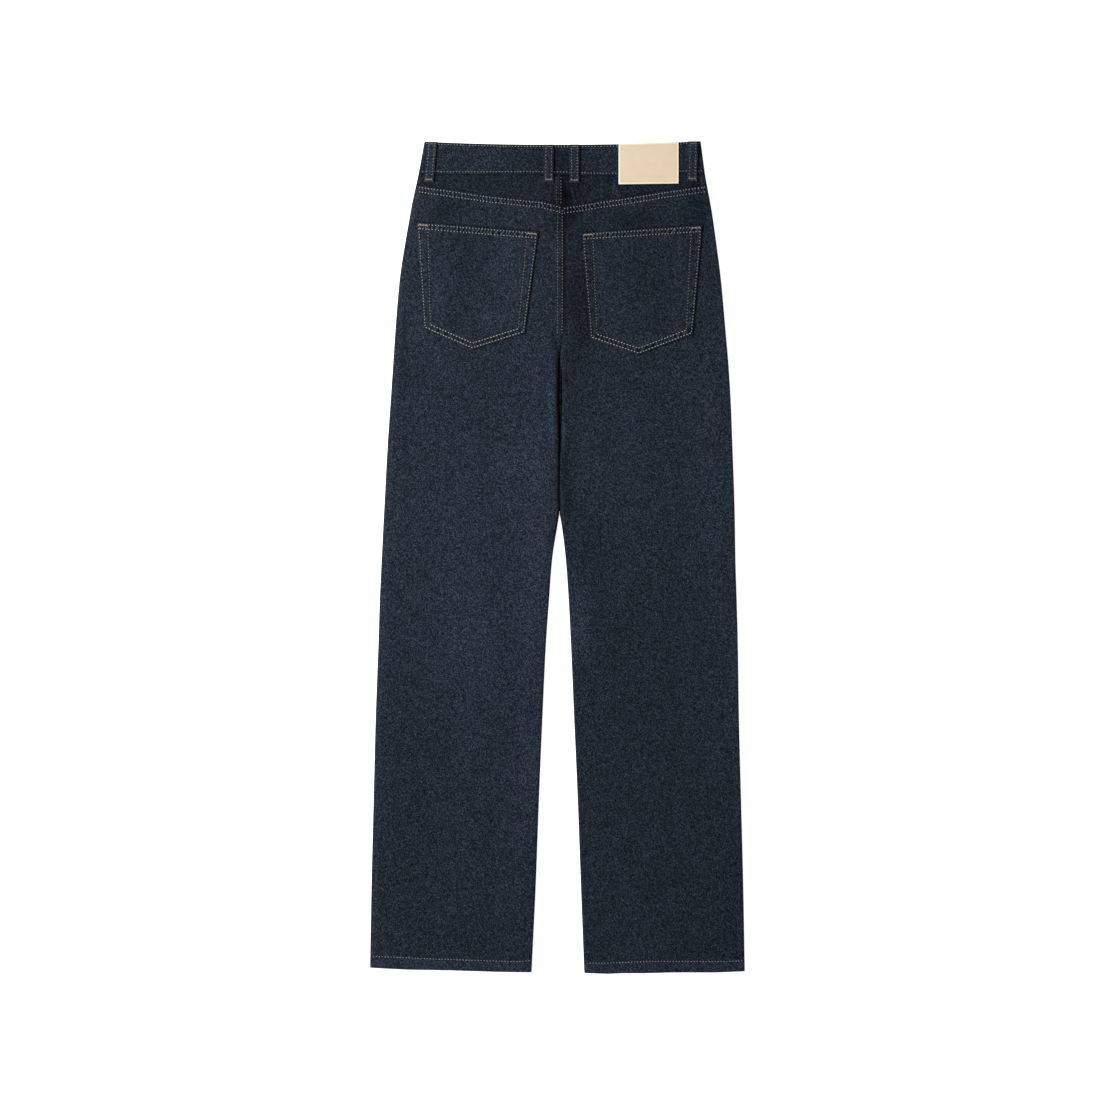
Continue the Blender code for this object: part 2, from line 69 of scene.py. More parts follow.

# %% [markdown]
# ## Camera, floor and light
#
# The garment lies on a white table and is looked at from straight above. A short lens close by
# would bend the outline, so the camera stands far off with a long one. A soft box at the upper
# left lights the left leg more than the right one, and loops, pocket edges and the patch throw
# short shadows to the right. A weaker one at the left lights the lower legs, and a pale sky fills
# the shadows. Lamps alone would leave the table grey in its corners, so it glows a little itself.
# Beside loops, pocket edges, the patch and seams, and in the crease, shade is also painted on the
# cloth.

# %% Camera
FRAME_WIDTH = 1.456  # what the picture takes in, in metres, at the cloth's height
CLOTH_HEIGHT = 0.007
CAMERA_AIM = (0.00325, -0.0026)
LENS = 100
SENSOR = 36

bpy.ops.object.select_all(action="DESELECT")
camera_height = FRAME_WIDTH * LENS / SENSOR + CLOTH_HEIGHT
bpy.ops.object.camera_add(location=(*CAMERA_AIM, camera_height), rotation=(0, 0, 0))
camera = bpy.context.active_object
camera.data.lens = LENS
camera.data.sensor_width = SENSOR
camera.data.clip_end = 50
bpy.context.scene.camera = camera
print("camera height:", round(camera_height, 3))

# %% Floor
FLOOR_SIZE = 14
FLOOR_DROP = 0.0004  # a little under the cloth, so that the two never share a plane
TABLE_WHITE, TABLE_ROUGHNESS, TABLE_GLOW = 0.93, 0.9, 0.86

bpy.ops.mesh.primitive_plane_add(size=FLOOR_SIZE, location=(0, 0, -FLOOR_DROP))
floor = bpy.context.active_object
floor.name = "floor"
floor_paint = bpy.data.materials.new("white table")
floor_paint.use_nodes = True
floor_shader = floor_paint.node_tree.nodes["Principled BSDF"]
floor_shader.inputs["Base Color"].default_value = (TABLE_WHITE, TABLE_WHITE, TABLE_WHITE, 1)
floor_shader.inputs["Roughness"].default_value = TABLE_ROUGHNESS
floor_shader.inputs["Emission Color"].default_value = (1, 1, 1, 1)
floor_shader.inputs["Emission Strength"].default_value = TABLE_GLOW
floor.data.materials.append(floor_paint)
print("floor:", FLOOR_SIZE, "m wide")

# %% Lights
SOFT_BOXES = [
    # name, place, aim, size, watts, colour
    ("key", (-1.0, 0.66, 1.0), (0, 0.1, 0), 0.55, 19, (1.0, 0.99, 0.97)),
    ("side", (-0.85, -0.35, 1.2), (0, -0.1, 0), 0.7, 9, (0.97, 0.985, 1.0)),
]
SKY_COLOUR, SKY_STRENGTH = (0.96, 0.98, 1.0, 1), 0.26


def soft_box(name, place, aim, size, watts, colour):
    bpy.ops.object.light_add(type="AREA", location=place)
    lamp = bpy.context.active_object
    lamp.name = name
    lamp.data.shape = "DISK"
    lamp.data.size = size
    lamp.data.energy = watts
    lamp.data.color = colour
    lamp.rotation_euler = (Vector(aim) - Vector(place)).to_track_quat("-Z", "Y").to_euler()


for box in SOFT_BOXES:
    soft_box(*box)

sky = bpy.data.worlds.new("pale sky")
sky.use_nodes = True
sky.node_tree.nodes["Background"].inputs["Color"].default_value = SKY_COLOUR
sky.node_tree.nodes["Background"].inputs["Strength"].default_value = SKY_STRENGTH
bpy.context.scene.world = sky
bpy.context.scene.view_settings.view_transform = "Standard"

# %% [markdown]
# ## The form that the cloth lies in
#
# The solids follow a few short tables: the garment's edges from hem to waist, the height of the
# back over each stretch, the hem's edge and the seam under the yokes. A shell could be shrunk on
# to the solids with a modifier, but it would take over their facets. So the same tables are given
# here, and a fine shell is laid on the form that each solid was made from. A smooth curve runs
# through each column, and it never swings past the values.

# %% Tables of the form, in millimetres
HALF_WAIST = 175
WAIST_EDGE, WAIST_DIP = 537.0, 4.5
WAIST_SEAM = 498.8
FRONT_DIP = 14  # how much lower the front waist dips
BAND_TOP = 7.4
CROWN, CROWN_REACH, CROWN_START, CROWN_LENGTH = 2.1, 170, 425, 70  # the seat's rounded rise
LIFT, LIFT_HALF_WIDTH, LIFT_FADE, LIFT_START, LIFT_LENGTH = 1.9, 112, 50, 400, 55
OUTER_REACH, INNER_REACH = 30, 26  # how far in a panel slopes down to its edges
SEAM_GAP = 0.3  # between solids that are sewn together
SEAM_CLOSE = 0.16  # sewn edges touch, so no light comes up between them
LYING_GAP = 0.4  # between a piece and the one that it lies on
LEG_SEAM_GAP = 0.6  # between the back and the front at the legs' edges


def table(columns, rows):
    """A table with named columns, its rows sorted by the first one."""
    values = np.array(sorted(rows), dtype=float)
    return {name: values[:, index] for index, name in enumerate(columns.split())}


OUTLINE = table("y left_outer left_inner right_inner right_outer", [
    (-542, -244.2, -34.0, 35.0, 243.8),
    (-420, -242.0, -28.2, 30.3, 241.6),
    (-315, -239.4, -24.3, 26.4, 238.9),
    (-211, -236.8, -19.9, 21.8, 236.2),
    (-107, -233.0, -14.9, 17.3, 234.6),
    (-55, -231.4, -11.2, 14.6, 233.2),
    (-3, -229.0, -7.2, 10.9, 231.6),
    (49, -226.4, 0.8, 4.6, 230.8),
    (60, -225.8, 2.4, 2.7, 230.6),
    (153, -220.8, 2.6, 2.9, 227.4),
    (205, -217.2, 1.7, 2.0, 225.4),
    (257, -213.7, 1.8, 2.1, 222.1),
    (290, -211.5, 7.0, 7.2, 219.2),
    (361, -205.6, 7.5, 7.8, 212.8),
    (413, -197.8, 7.5, 7.8, 206.2),
    (452, -190.9, 7.4, 7.7, 200.6),
    (459, -189.7, 5.9, 6.2, 199.4),
    (498, -181.3, 5.7, 6.0, 192.2),
    (541, -173.3, 5.7, 6.0, 186.4),
])
HEIGHTS = table("y over_panel outer_edge inner_edge roll", [
    (-542, 6.9, 6.2, 6.2, 1.0),
    (-300, 6.7, 6.0, 6.0, 1.0),
    (0, 6.8, 6.0, 6.6, 1.0),
    (60, 6.9, 6.0, 8.0, 1.0),
    (150, 7.0, 6.0, 9.0, 1.0),
    (225, 7.0, 6.0, 9.0, 1.0),
    (262, 7.0, 6.0, 8.4, 0.7),
    (290, 7.0, 6.1, 7.6, 0.1),
    (312, 7.0, 6.2, 7.0, 0.0),
    (430, 7.0, 6.2, 7.0, 0.0),
    (498, 6.8, 6.2, 6.8, 0.0),
    (541, 6.8, 6.2, 6.8, 0.0),
])
HEM_EDGE = table("x y", [
    (-243, -532.8), (-195, -535.2), (-140, -536.1), (-85, -537.9), (-34, -538.8),
    (36, -539.6), (65, -540.6), (82, -539.9), (120, -539.7), (145, -538.9),
    (205, -538.8), (243, -537.4),
])
BACK_WAIST = table("x y", [
    (-192, 499.2), (-95, 499.0), (-45, 499.2), (0, 498.8), (30, 497.7), (55, 497.1),
    (90, 497.3), (125, 498.6), (167, 500.2), (196, 500.6),
])
YOKE_SEAM = table("x y", [
    (-184, 484.4), (-121, 475.4), (-85, 470.2), (-20, 463.3), (3.7, 457.2),
    (7.7, 456.0), (36, 460.1), (57, 463.7), (94, 468.9), (143, 477.2), (195, 484.4),
])

LOOP_WIDTH = 13
BACK_LOOPS = {  # x of each loop's middle at its top and its bottom
    "belt_loop_back_left": (-162.9, -167.4),
    "belt_loop_centre_left": (-11.4, -11.6),
    "belt_loop_centre_right": (22.0, 21.8),
    "belt_loop_back_right": (176.2, 174.9),
}
POCKET_CORNERS = {
    "left": {"top_left": (-182.7, 435.9), "top_right": (-25.2, 423.5), "low_right": (-42.6, 292.7),
             "tip": (-111.0, 271.2), "low_left": (-173.7, 298.7)},
    "right": {"top_left": (31.6, 422.1), "top_right": (188.1, 432.2), "low_right": (175.8, 291.4),
              "tip": (105.6, 264.5), "low_left": (42.8, 285.6)},
}

PATCH_LEFT, PATCH_RIGHT, PATCH_LOW_LEFT, PATCH_LOW_RIGHT = 79.4, 157.4, 485.5, 486.8
PATCH_OVER = 0.4  # the patch stands over the waist's edge by this
print("edges at", len(OUTLINE["y"]), "heights")


# %% Soft steps and humps
def ease(value):
    """0 below 0, 1 above 1, and a smooth step between."""
    value = np.clip(value, 0.0, 1.0)
    return value * value * (3 - 2 * value)


def rising(value, start, length):
    """0 up to the start, then smoothly up to 1 over the length."""
    return ease((value - start) / length)


def fading(value, start, length):
    """1 up to the start, then smoothly down to 0 over the length."""
    return 1 - rising(value, start, length)


def blend(start, end, share):
    return start + (end - start) * share


def shares(count):
    """Even shares from 0 to 1, ends included."""
    return [step / count for step in range(count + 1)]


def hump(distance, reach):
    """1 at the middle, falling smoothly to 0 at the reach."""
    return np.cos(np.pi / 2 * np.clip(np.abs(distance) / reach, 0, 1)) ** 2


def bell(distance, width):
    """1 at the middle, falling like a bell, with no end."""
    return np.exp(-(distance / width) ** 2)


print("a step:", [round(float(rising(share, 0, 1)), 2) for share in shares(4)])


# %% Curves through the tables
def along_table(rows, column, station):
    """The column's value at each station, on a smooth curve through the table's rows."""
    stations, values = next(iter(rows.values())), rows[column]
    runs = np.diff(values) / np.diff(stations)
    before, after = runs[:-1], runs[1:]
    same_way = before * after > 0
    total = np.where(same_way, before + after, 1)
    inner = np.where(same_way, 2 * before * after / total, 0)
    slopes = np.concatenate(([runs[0]], inner, [runs[-1]]))
    station = np.clip(station, stations[0], stations[-1])
    i = np.clip(np.searchsorted(stations, station, side="right") - 1, 0, len(stations) - 2)
    span = stations[i + 1] - stations[i]
    t = (station - stations[i]) / span
    return ((1 + 2 * t) * (1 - t) ** 2 * values[i] + t * (1 - t) ** 2 * span * slopes[i]
            + t * t * (3 - 2 * t) * values[i + 1] + t * t * (t - 1) * span * slopes[i + 1])


def on_line(rows, x):
    return np.interp(x, rows["x"], rows["y"])


def edge_x(side, edge, y):
    return along_table(OUTLINE, f"{side}_{edge}", y)


def from_edge(side, edge, x, y):
    """Distance to a leg's outer or inner edge."""
    return np.abs(x - edge_x(side, edge, y))


def height_at(column, y):
    return along_table(HEIGHTS, column, y)


def waist_edge(x, front=False):
    return WAIST_EDGE + WAIST_DIP * (x / HALF_WAIST) ** 2 - FRONT_DIP * front * hump(x, HALF_WAIST)


def waist_seam(x, front=False):
    """The seam under the waistband: it wanders a little across the back, less in front."""
    back = along_table(BACK_WAIST, "y", x)
    return np.where(front, WAIST_SEAM - FRONT_DIP * hump(x, HALF_WAIST), back)


def lift(x, y):
    """Height of the front's underside: the floor, but for the waist over button and loops."""
    across = fading(np.abs(x), LIFT_HALF_WIDTH, LIFT_FADE)
    return LIFT * across * rising(y, LIFT_START, LIFT_LENGTH)


def crown(x, y):
    """How much the back of the seat rises in its middle."""
    return CROWN * hump(x, CROWN_REACH) * rising(y, CROWN_START, CROWN_LENGTH)


print("waist:", [round(float(edge_x(s, "outer", 536))) for s in ("left", "right")])

# %% The crease between the thighs
# It gapes: how far each back edge is pulled away from its solid's.
CREASE = table("y left right", [
    (40, 0.0, 0.0), (60, 0.1, 0.6), (80, 0.3, 0.2), (120, 0.3, 0.3), (138, 0.2, 1.0), (150, 0.2, 1.9),
    (165, 0.2, 2.4), (180, 0.2, 3.0), (210, 0.7, 4.2), (240, 0.4, 3.7), (256, 0.4, 1.4), (275, 0.0, 0.0),
])
# How dark the painted shade turns toward the crease, and in the soft hollow that leads down to it.
HOLLOW = table("y middle width depth", [
    (40, 2.6, 2.0, 0.0), (62, 3.0, 2.2, 0.55), (80, 2.2, 2.4, 0.24), (120, 2.6, 2.6, 0.16),
    (138, 2.8, 2.6, 0.42), (150, 2.8, 2.9, 0.6), (165, 2.8, 3.1, 0.66), (180, 2.9, 3.5, 0.6),
    (210, 2.6, 4.4, 0.6), (240, 2.6, 3.8, 0.6), (256, 0.8, 4.0, 0.4), (270, -1.2, 4.4, 0.4),
    (285, -4.2, 3.6, 0.5), (300, -7.0, 3.0, 0.0),
])


def crease_gap(side, y):
    return along_table(CREASE, side, y)


print("widest gape:", CREASE["left"].max(), "and", CREASE["right"].max(), "mm")


# %% Edges of pockets and patch
def inset(side, start, end, x, y):
    """How far a point lies inside a pocket's edge, corners taken anticlockwise."""
    (ax, ay), (bx, by) = POCKET_CORNERS[side][start], POCKET_CORNERS[side][end]
    return ((bx - ax) * (y - ay) - (by - ay) * (x - ax)) / math.hypot(bx - ax, by - ay)


def pocket_insets(side, x, y):
    """Distances in from the top edge and from the nearest sewn edge."""
    sewn = [("top_left", "low_left"), ("low_left", "tip"), ("tip", "low_right"),
            ("low_right", "top_right")]
    top = inset(side, "top_right", "top_left", x, y)
    return top, np.minimum.reduce([inset(side, a, b, x, y) for a, b in sewn])


def patch_edges(x):
    """y of the patch's lower and upper edge."""
    low = np.interp(x, (PATCH_LEFT, PATCH_RIGHT), (PATCH_LOW_LEFT, PATCH_LOW_RIGHT))
    return low, waist_edge(x) + PATCH_OVER


print("patch from", PATCH_LEFT, "to", PATCH_RIGHT, "mm")

# %% [markdown]
# ## Folds, seams and puckers
#
# Denim is stiff, so a pair laid flat has few deep folds: the seat pulls toward the centre seam,
# the thighs press together in one deep crease, and soft hollows cross the legs. A cloth solver
# would find folds, but not where this pair has them. So each fold is a short line with a width
# and a height, listed one by one: above 0 it is a ridge, below 0 a trough. Felled seams stand
# proud, the strip between their two rows of stitches puffs and puckers, and the hem twists a
# little as it is sewn. All of this is height added to the form.

# %% Folds listed one by one
BACK_FOLDS = [
    # from x, from y, to x, to y, width, height
    (8, 497, 16, 458, 2.8, -1.5),  # dark pull right of the centre seam
    (11, 492, 24, 462, 2.2, 1.3),
    (25, 490, 42, 468, 3.2, 0.9),
    (31, 494, 52, 473, 3.0, -0.8),
    (72, 493, 81, 470, 2.6, 0.6),
    (82, 488, 91, 472, 3.2, -0.5),
    (11, 452, 12, 330, 4.0, -0.5),  # the seat falls away beside the seam
    (-22, 330, -6, 255, 5.5, 0.5),  # the seat draws into the crotch
    (-40, 300, -12, 232, 7.0, -0.5),
    (-6, 297, 1, 240, 3.4, -0.9),  # the hollow that runs down into the crease
    (22, 330, 12, 250, 5.0, 0.4),
    (-222, -303, -124, -304, 4.0, -0.4),
    (60, 20, 75, -160, 16.0, -0.8),
    (30, 10, 32, -110, 9.0, 0.5),
]
FRONT_FOLDS = [
    (-10, 330, -70, 262, 5.0, 0.7),
    (14, 326, 78, 270, 5.0, 0.7),
    (-20, 300, -110, 222, 6.5, 0.6),
    (24, 292, 118, 236, 6.0, 0.5),
    (-190, 120, -60, 96, 9.0, 0.5),
    (70, -60, 190, -84, 8.0, 0.5),
    (-200, -330, -110, -322, 7.0, 0.4),
]


def folds(x, y, placed):
    """Height of the folds: full along a fold's middle, fading toward its ends and sides."""
    total = np.zeros_like(x)
    for from_x, from_y, to_x, to_y, width, height in placed:
        run_x, run_y = to_x - from_x, to_y - from_y
        length = math.hypot(run_x, run_y)
        along = ((x - from_x) * run_x + (y - from_y) * run_y) / length ** 2
        off = ((x - from_x) * run_y - (y - from_y) * run_x) / length
        total += height * ease(1.3 - 2.6 * np.abs(along - 0.5)) * bell(off, width)
    return total


print("folds:", len(BACK_FOLDS), "on the back,", len(FRONT_FOLDS), "on the front")

# %% Soft unevenness of lying cloth
SWELL_WAVES, SHORTEST_WAVE, LONGEST_WAVE = 7, 0.75, 1.4
SWELL_PEAK = 1.4  # about how high the waves' sum comes
PITCH_WANDER, PITCHES_A_WANDER = 0.55, 6


def swell(x, y, pitch, seed):
    """Gentle hills between -1 and 1: a few waves of about one pitch in seeded directions."""
    dice = random.Random(seed)
    total = np.zeros_like(x)
    for _ in range(SWELL_WAVES):
        turn = dice.uniform(0, math.tau)
        length = pitch * dice.uniform(SHORTEST_WAVE, LONGEST_WAVE)
        phase = dice.uniform(0, math.tau)
        total += np.sin((x * math.cos(turn) + y * math.sin(turn)) * math.tau / length + phase)
    return total / SWELL_WAVES ** 0.5 / SWELL_PEAK


def uneven_phase(along, pitch, seed):
    """A wave's angle along a seam, its pitch wandering as hand-fed cloth does."""
    wander = swell(along, 0 * along, pitch * PITCHES_A_WANDER, seed)
    return math.tau * (along / pitch + PITCH_WANDER * wander)


print("hills:", swell(np.arange(0.0, 100.0, 20.0), np.zeros(5), 30, seed=1).round(2))

# %% Strips between rows of stitches
ROW_NEAR, ROW_FAR = 1.85, 7.9  # a felled seam's two rows, in from the folded edge
ROW_SINK, ROW_WIDTH = 0.22, 0.7  # the groove that a row pulls in
STRIP_MARGIN = 0.6  # a puffed strip reaches this far over its rows
STRIP_STEEP = 2.2
PUCKER_PITCH = 5.1
PUCKER_STEEP = 1.5
PUCKER_LEAN = 0.35


def puckers(along, pitch, seed):
    """Waves along a seam with steep sides: 1 on a ridge, -1 in a trough."""
    return np.clip(PUCKER_STEEP * np.sin(uneven_phase(along, pitch, seed)), -1, 1)


def puff_between(inset, near, far):
    """The rounded rise of the strip between two rows."""
    return hump(inset - (near + far) / 2, (far - near) / 2 + STRIP_MARGIN)


def strip_between(inset, near, far):
    """1 between two rows of stitches, falling to 0 at the rows."""
    return ease(STRIP_STEEP * puff_between(inset, near, far))


def seam_puckers(inset, along, seed):
    """Waves of the strip between a felled seam's rows."""
    waves = puckers(along - PUCKER_LEAN * inset, PUCKER_PITCH, seed)
    return strip_between(inset, ROW_NEAR, ROW_FAR) * waves


print("middle of a strip:", round(float(strip_between(4.9, ROW_NEAR, ROW_FAR)), 2))

# %% Felled seams
LAP_RISE, LAP_WIDTH, LAP_FALL = 0.8, 8.5, 2.0
FOLD_START = 0.35  # the folded edge begins this far up its rounding
LAP_PUFF = 0.30
PUCKER = 0.5
BAND_PRESS = 20  # the waistband presses the centre seam flat
CENTRE_PULL = 0.6
EVEN_PULL = 0.8
YOKE_PULLS = [(28, 26, 0.9), (-30, 40, 0.3)]  # middle x, width, how much harder it pulls
YOKE_SEED, CENTRE_SEED = 3, 8


def felled(inset, along, pull, seed):
    """Height of a felled seam, by the distance in from its folded edge and along it."""
    body = ease(FOLD_START + inset) * fading(inset, LAP_WIDTH, LAP_FALL)
    rows = bell(inset - ROW_NEAR, ROW_WIDTH) + bell(inset - ROW_FAR, ROW_WIDTH)
    height = LAP_RISE * body + LAP_PUFF * puff_between(inset, ROW_NEAR, ROW_FAR) - ROW_SINK * rows
    height += pull * PUCKER * seam_puckers(inset, along, seed)
    return np.where(inset > 0, height, 0)


def yoke_pull(x):
    """How hard the yoke seam draws up: most beside the centre."""
    return sum((more * bell(x - middle, width) for middle, width, more in YOKE_PULLS), EVEN_PULL)


def yoke_lap(x, y):
    """The felled seam where a back panel laps over its yoke."""
    return felled(on_line(YOKE_SEAM, x) - y, x, yoke_pull(x), YOKE_SEED)


def centre_lap(side, x, y):
    """The felled seam down the centre back, the left side over the right."""
    if side == "right":
        return np.zeros_like(x)
    unrolled = 1 - np.clip(height_at("roll", y), 0, 1)
    below_band = rising(waist_seam(x) - y, 0, BAND_PRESS)
    lap = felled(edge_x(side, "inner", y) - x, y, CENTRE_PULL, CENTRE_SEED)
    return unrolled * below_band * lap


print("felled seam:", felled(np.array([0.5, 2.0, 5.0, 8.0, 10.0]), 0.0, 0, YOKE_SEED).round(2), "mm")

# %% Hem
HEM_HEIGHT, HEM_RISE, HEM_FALL = 13.8, 0.5, 1.5
HEM_ROW, HEM_ROW_WIDTH = 12.4, 0.8
ROPE, ROPE_PITCH, ROPE_LEAN = 0.26, 8.5, 0.9  # the slanting ridges of the hem's twist
ROPE_MIDDLE, ROPE_REACH = 6, 7
ROPE_SEED = 5


def above_hem(x, y):
    """Distance up from the hem's edge."""
    return y - on_line(HEM_EDGE, x)


def hem(x, y):
    """The doubled hem, with the slanting ridges of its twist."""
    above = above_hem(x, y)
    twist = np.sin(uneven_phase(x + ROPE_LEAN * above, ROPE_PITCH, ROPE_SEED))
    return (HEM_RISE * fading(above, HEM_HEIGHT, HEM_FALL)
            + ROPE * (twist * hump(above - ROPE_MIDDLE, ROPE_REACH))
            - ROW_SINK * bell(above - HEM_ROW, HEM_ROW_WIDTH))


print("hem at the row:", round(float(hem(np.array(-140.0), -536.1 + HEM_ROW)), 2), "mm")

# %% Height of the back's outer side
OUTSEAM_RIDGE = {"left": 0.42, "right": 0.26}
OUTSEAM_INSET, OUTSEAM_WIDTH, OUTSEAM_CALM = 6.3, 1.5, 0.6
INSEAM_RIDGE, INSEAM_INSET, INSEAM_WIDTH = 0.25, 5.0, 1.4
DOME = {"left": 1.3, "right": 0.9}  # each leg rises toward the crease between them
DOME_REACH, DOME_EDGE = 95, 30
HILLS = [(0.42, 0.7, 78, 11), (0.16, 0.8, 27, 12)]  # height, share of y, pitch, seed
SEAT_CALM = 0.75  # the hills are this much lower over the yokes


def back_relief(side, x, y):
    """The low relief of a leg and the seat: ridges of the seams, dome, hills and folds."""
    from_outer = from_edge(side, "outer", x, y)
    from_inner = from_edge(side, "inner", x, y)
    calm = 1 - SEAT_CALM * rising(y, 430, 60)
    ridge = OUTSEAM_RIDGE[side] * bell(from_outer - OUTSEAM_INSET, OUTSEAM_WIDTH)
    ridge = ridge * (1 - OUTSEAM_CALM * rising(y, 420, 60))
    inseam = INSEAM_RIDGE * bell(from_inner - INSEAM_INSET, INSEAM_WIDTH) * fading(y, 40, 40)
    dome = DOME[side] * fading(from_inner, 0, DOME_REACH) * rising(y, -120, 160)
    dome = dome * fading(y, 250, 120) * rising(from_inner, 0, DOME_EDGE)
    hills = sum(height * swell(x, y * share, pitch, seed) for height, share, pitch, seed in HILLS)
    return ridge + inseam + dome + calm * hills + folds(x, y, BACK_FOLDS)


def back_surface(side, x, y):
    """Height of the outer side of a yoke or a back panel."""
    over = height_at("over_panel", y)
    from_outer = from_edge(side, "outer", x, y) / OUTER_REACH
    from_inner = from_edge(side, "inner", x, y) / INNER_REACH
    drop = (over - height_at("outer_edge", y)) * (1 - ease(from_outer))
    rise = (height_at("inner_edge", y) - over) * (1 - ease(from_inner))
    near_edges = ease(from_outer * 3) * ease(0.3 + from_inner * 3)  # no relief at the edges
    laps = np.maximum(centre_lap(side, x, y), yoke_lap(x, y))
    return over - drop + rise + crown(x, y) + laps + hem(x, y) + near_edges * back_relief(side, x, y)


DEEPEST_HOLLOW = 1.2


def front_surface(side, x, y):
    """Height of the front's outer side, which lies on the floor: folds only hollow it."""
    hollows = 0.25 * (1 + swell(x, y * 0.7, 90, seed=21)) + folds(x, y, FRONT_FOLDS)
    hollows = np.clip(hollows, 0, DEEPEST_HOLLOW)
    from_edges = np.minimum(from_edge(side, "outer", x, y), from_edge(side, "inner", x, y))
    hollows = hollows * rising(from_edges, 0, 25) * rising(above_hem(x, y), 0, 30)
    return lift(x, y) + hollows * fading(y, 380, 60)


print("seat height:", round(float(back_surface("left", np.array(-90.0), np.array(380.0))), 2))

# %% [markdown]
# ## Finishes shared by the materials
#
# Denim is a twill: each blue warp yarn floats over three pale weft yarns and dives under the
# fourth, one pick higher on every next yarn, so small pale dots climb the cloth in slanting
# lines. The yarn is uneven, which makes short streaks and flecks, and the dye lies unevenly too.
# A picture of cloth could be laid on, but a pattern made of nodes stays sharp and never repeats.
# So each of these is a node group with its own inputs, built once and used by every cloth. They
# read the cloth's own map, in metres along warp and weft, so they turn with the way it is cut.

# %% Helpers for node groups
def new_group(name, inputs, outputs):
    """An empty shader node group with named sockets; returns it, what it is given and puts out."""
    group = bpy.data.node_groups.new(name, "ShaderNodeTree")
    for label, kind, value in inputs:
        made = group.interface.new_socket(name=label, in_out="INPUT", socket_type=kind)
        if value is not None:
            made.default_value = value
    for label, kind in outputs:
        group.interface.new_socket(name=label, in_out="OUTPUT", socket_type=kind)
    return group, group.nodes.new("NodeGroupInput").outputs, group.nodes.new("NodeGroupOutput").inputs


def feed(tree, socket, value):
    """Link a socket to an input, or set the input to a plain value."""
    if isinstance(value, bpy.types.NodeSocket):
        tree.links.new(value, socket)
    else:
        socket.default_value = value


def node(tree, kind, links=None, **settings):
    """A node with its settings made and its inputs fed by name."""
    made = tree.nodes.new("ShaderNode" + kind)
    for name, value in settings.items():
        setattr(made, name, value)
    for name, value in (links or {}).items():
        feed(tree, made.inputs[name], value)
    return made


def maths(tree, operation, *values, clamp=False):
    made = node(tree, "Math", operation=operation, use_clamp=clamp)
    for socket, value in zip(made.inputs, values):
        feed(tree, socket, value)
    return made.outputs[0]


COLOUR_A, COLOUR_B, COLOUR_RESULT = 6, 7, 2  # where a colour mix keeps its colour sockets


def mix_colours(tree, factor, first, second):
    """A mix of two colours, each a plain colour or a socket."""
    made = node(tree, "Mix", {"Factor": factor}, data_type="RGBA")
    for index, value in ((COLOUR_A, first), (COLOUR_B, second)):
        feed(tree, made.inputs[index], value if isinstance(value, bpy.types.NodeSocket) else (*value, 1))
    return made.outputs[COLOUR_RESULT]


def place_group(tree, group, links):
    """A node group in a material, its inputs fed by name; returns its outputs."""
    return node(tree, "Group", links, node_tree=group).outputs


FLOAT, VECTOR = "NodeSocketFloat", "NodeSocketVector"

# %% Twill weave
FLOAT_OVER = 4  # a warp yarn goes over three wefts and under the fourth
WARP_PITCH, WEFT_PITCH = 0.00042, 0.00056
DOT_VARIES, DOT_LEAST = 0.8, 0.4  # how bright a weft dot is: by chance, and at least


def build_twill():
    """The pale weft dots of the twill, and the relief of its rounded warp yarns."""
    group, given, out = new_group(
        "twill weave",
        [("Vector", VECTOR, None), ("Warp pitch", FLOAT, WARP_PITCH), ("Weft pitch", FLOAT, WEFT_PITCH)],
        [("Weft", FLOAT), ("Relief", FLOAT)])
    parts = node(group, "SeparateXYZ", {"Vector": given["Vector"]}).outputs
    warp = maths(group, "DIVIDE", parts["X"], given["Warp pitch"])
    weft = maths(group, "DIVIDE", parts["Y"], given["Weft pitch"])
    warp_number, weft_number = maths(group, "FLOOR", warp), maths(group, "FLOOR", weft)
    step = maths(group, "SUBTRACT", weft_number, warp_number)
    turn = maths(group, "FRACT", maths(group, "DIVIDE", step, FLOAT_OVER))
    under = maths(group, "LESS_THAN", turn, 0.5 / FLOAT_OVER)
    across = maths(group, "SINE", maths(group, "MULTIPLY", maths(group, "FRACT", warp), math.pi))
    along = maths(group, "SINE", maths(group, "MULTIPLY", maths(group, "FRACT", weft), math.pi))
    spot = node(group, "CombineXYZ", {"X": warp_number, "Y": weft_number})
    chance = node(group, "TexWhiteNoise", {"Vector": spot.outputs[0]},
                  noise_dimensions="2D").outputs["Value"]
    dot = maths(group, "MULTIPLY", maths(group, "MULTIPLY", under, along),
                maths(group, "MULTIPLY_ADD", chance, DOT_VARIES, DOT_LEAST))
    feed(group, out["Weft"], dot)
    yarn = maths(group, "MULTIPLY", across, maths(group, "SUBTRACT", 1.0, under))
    feed(group, out["Relief"], yarn)
    return group


twill_group = build_twill()
print(twill_group.name, "has", len(twill_group.nodes), "nodes")

# %% Uneven yarn
FLECK_SIZE, FLECK_SPARSENESS = 0.00085, 2.6
FLECK_LEAN, FLECK_STRETCH = math.radians(-50), (1.25, 0.85, 1)
STREAK_WIDTH, STREAK_LENGTH, STREAK_LEAN = 0.0015, 0.009, math.radians(32)


def turned(tree, vector, lean, scale=(1, 1, 1)):
    """The flat map, turned by an angle and stretched."""
    return node(tree, "Mapping", {"Vector": vector, "Rotation": (0, 0, lean), "Scale": scale},
                vector_type="TEXTURE").outputs[0]


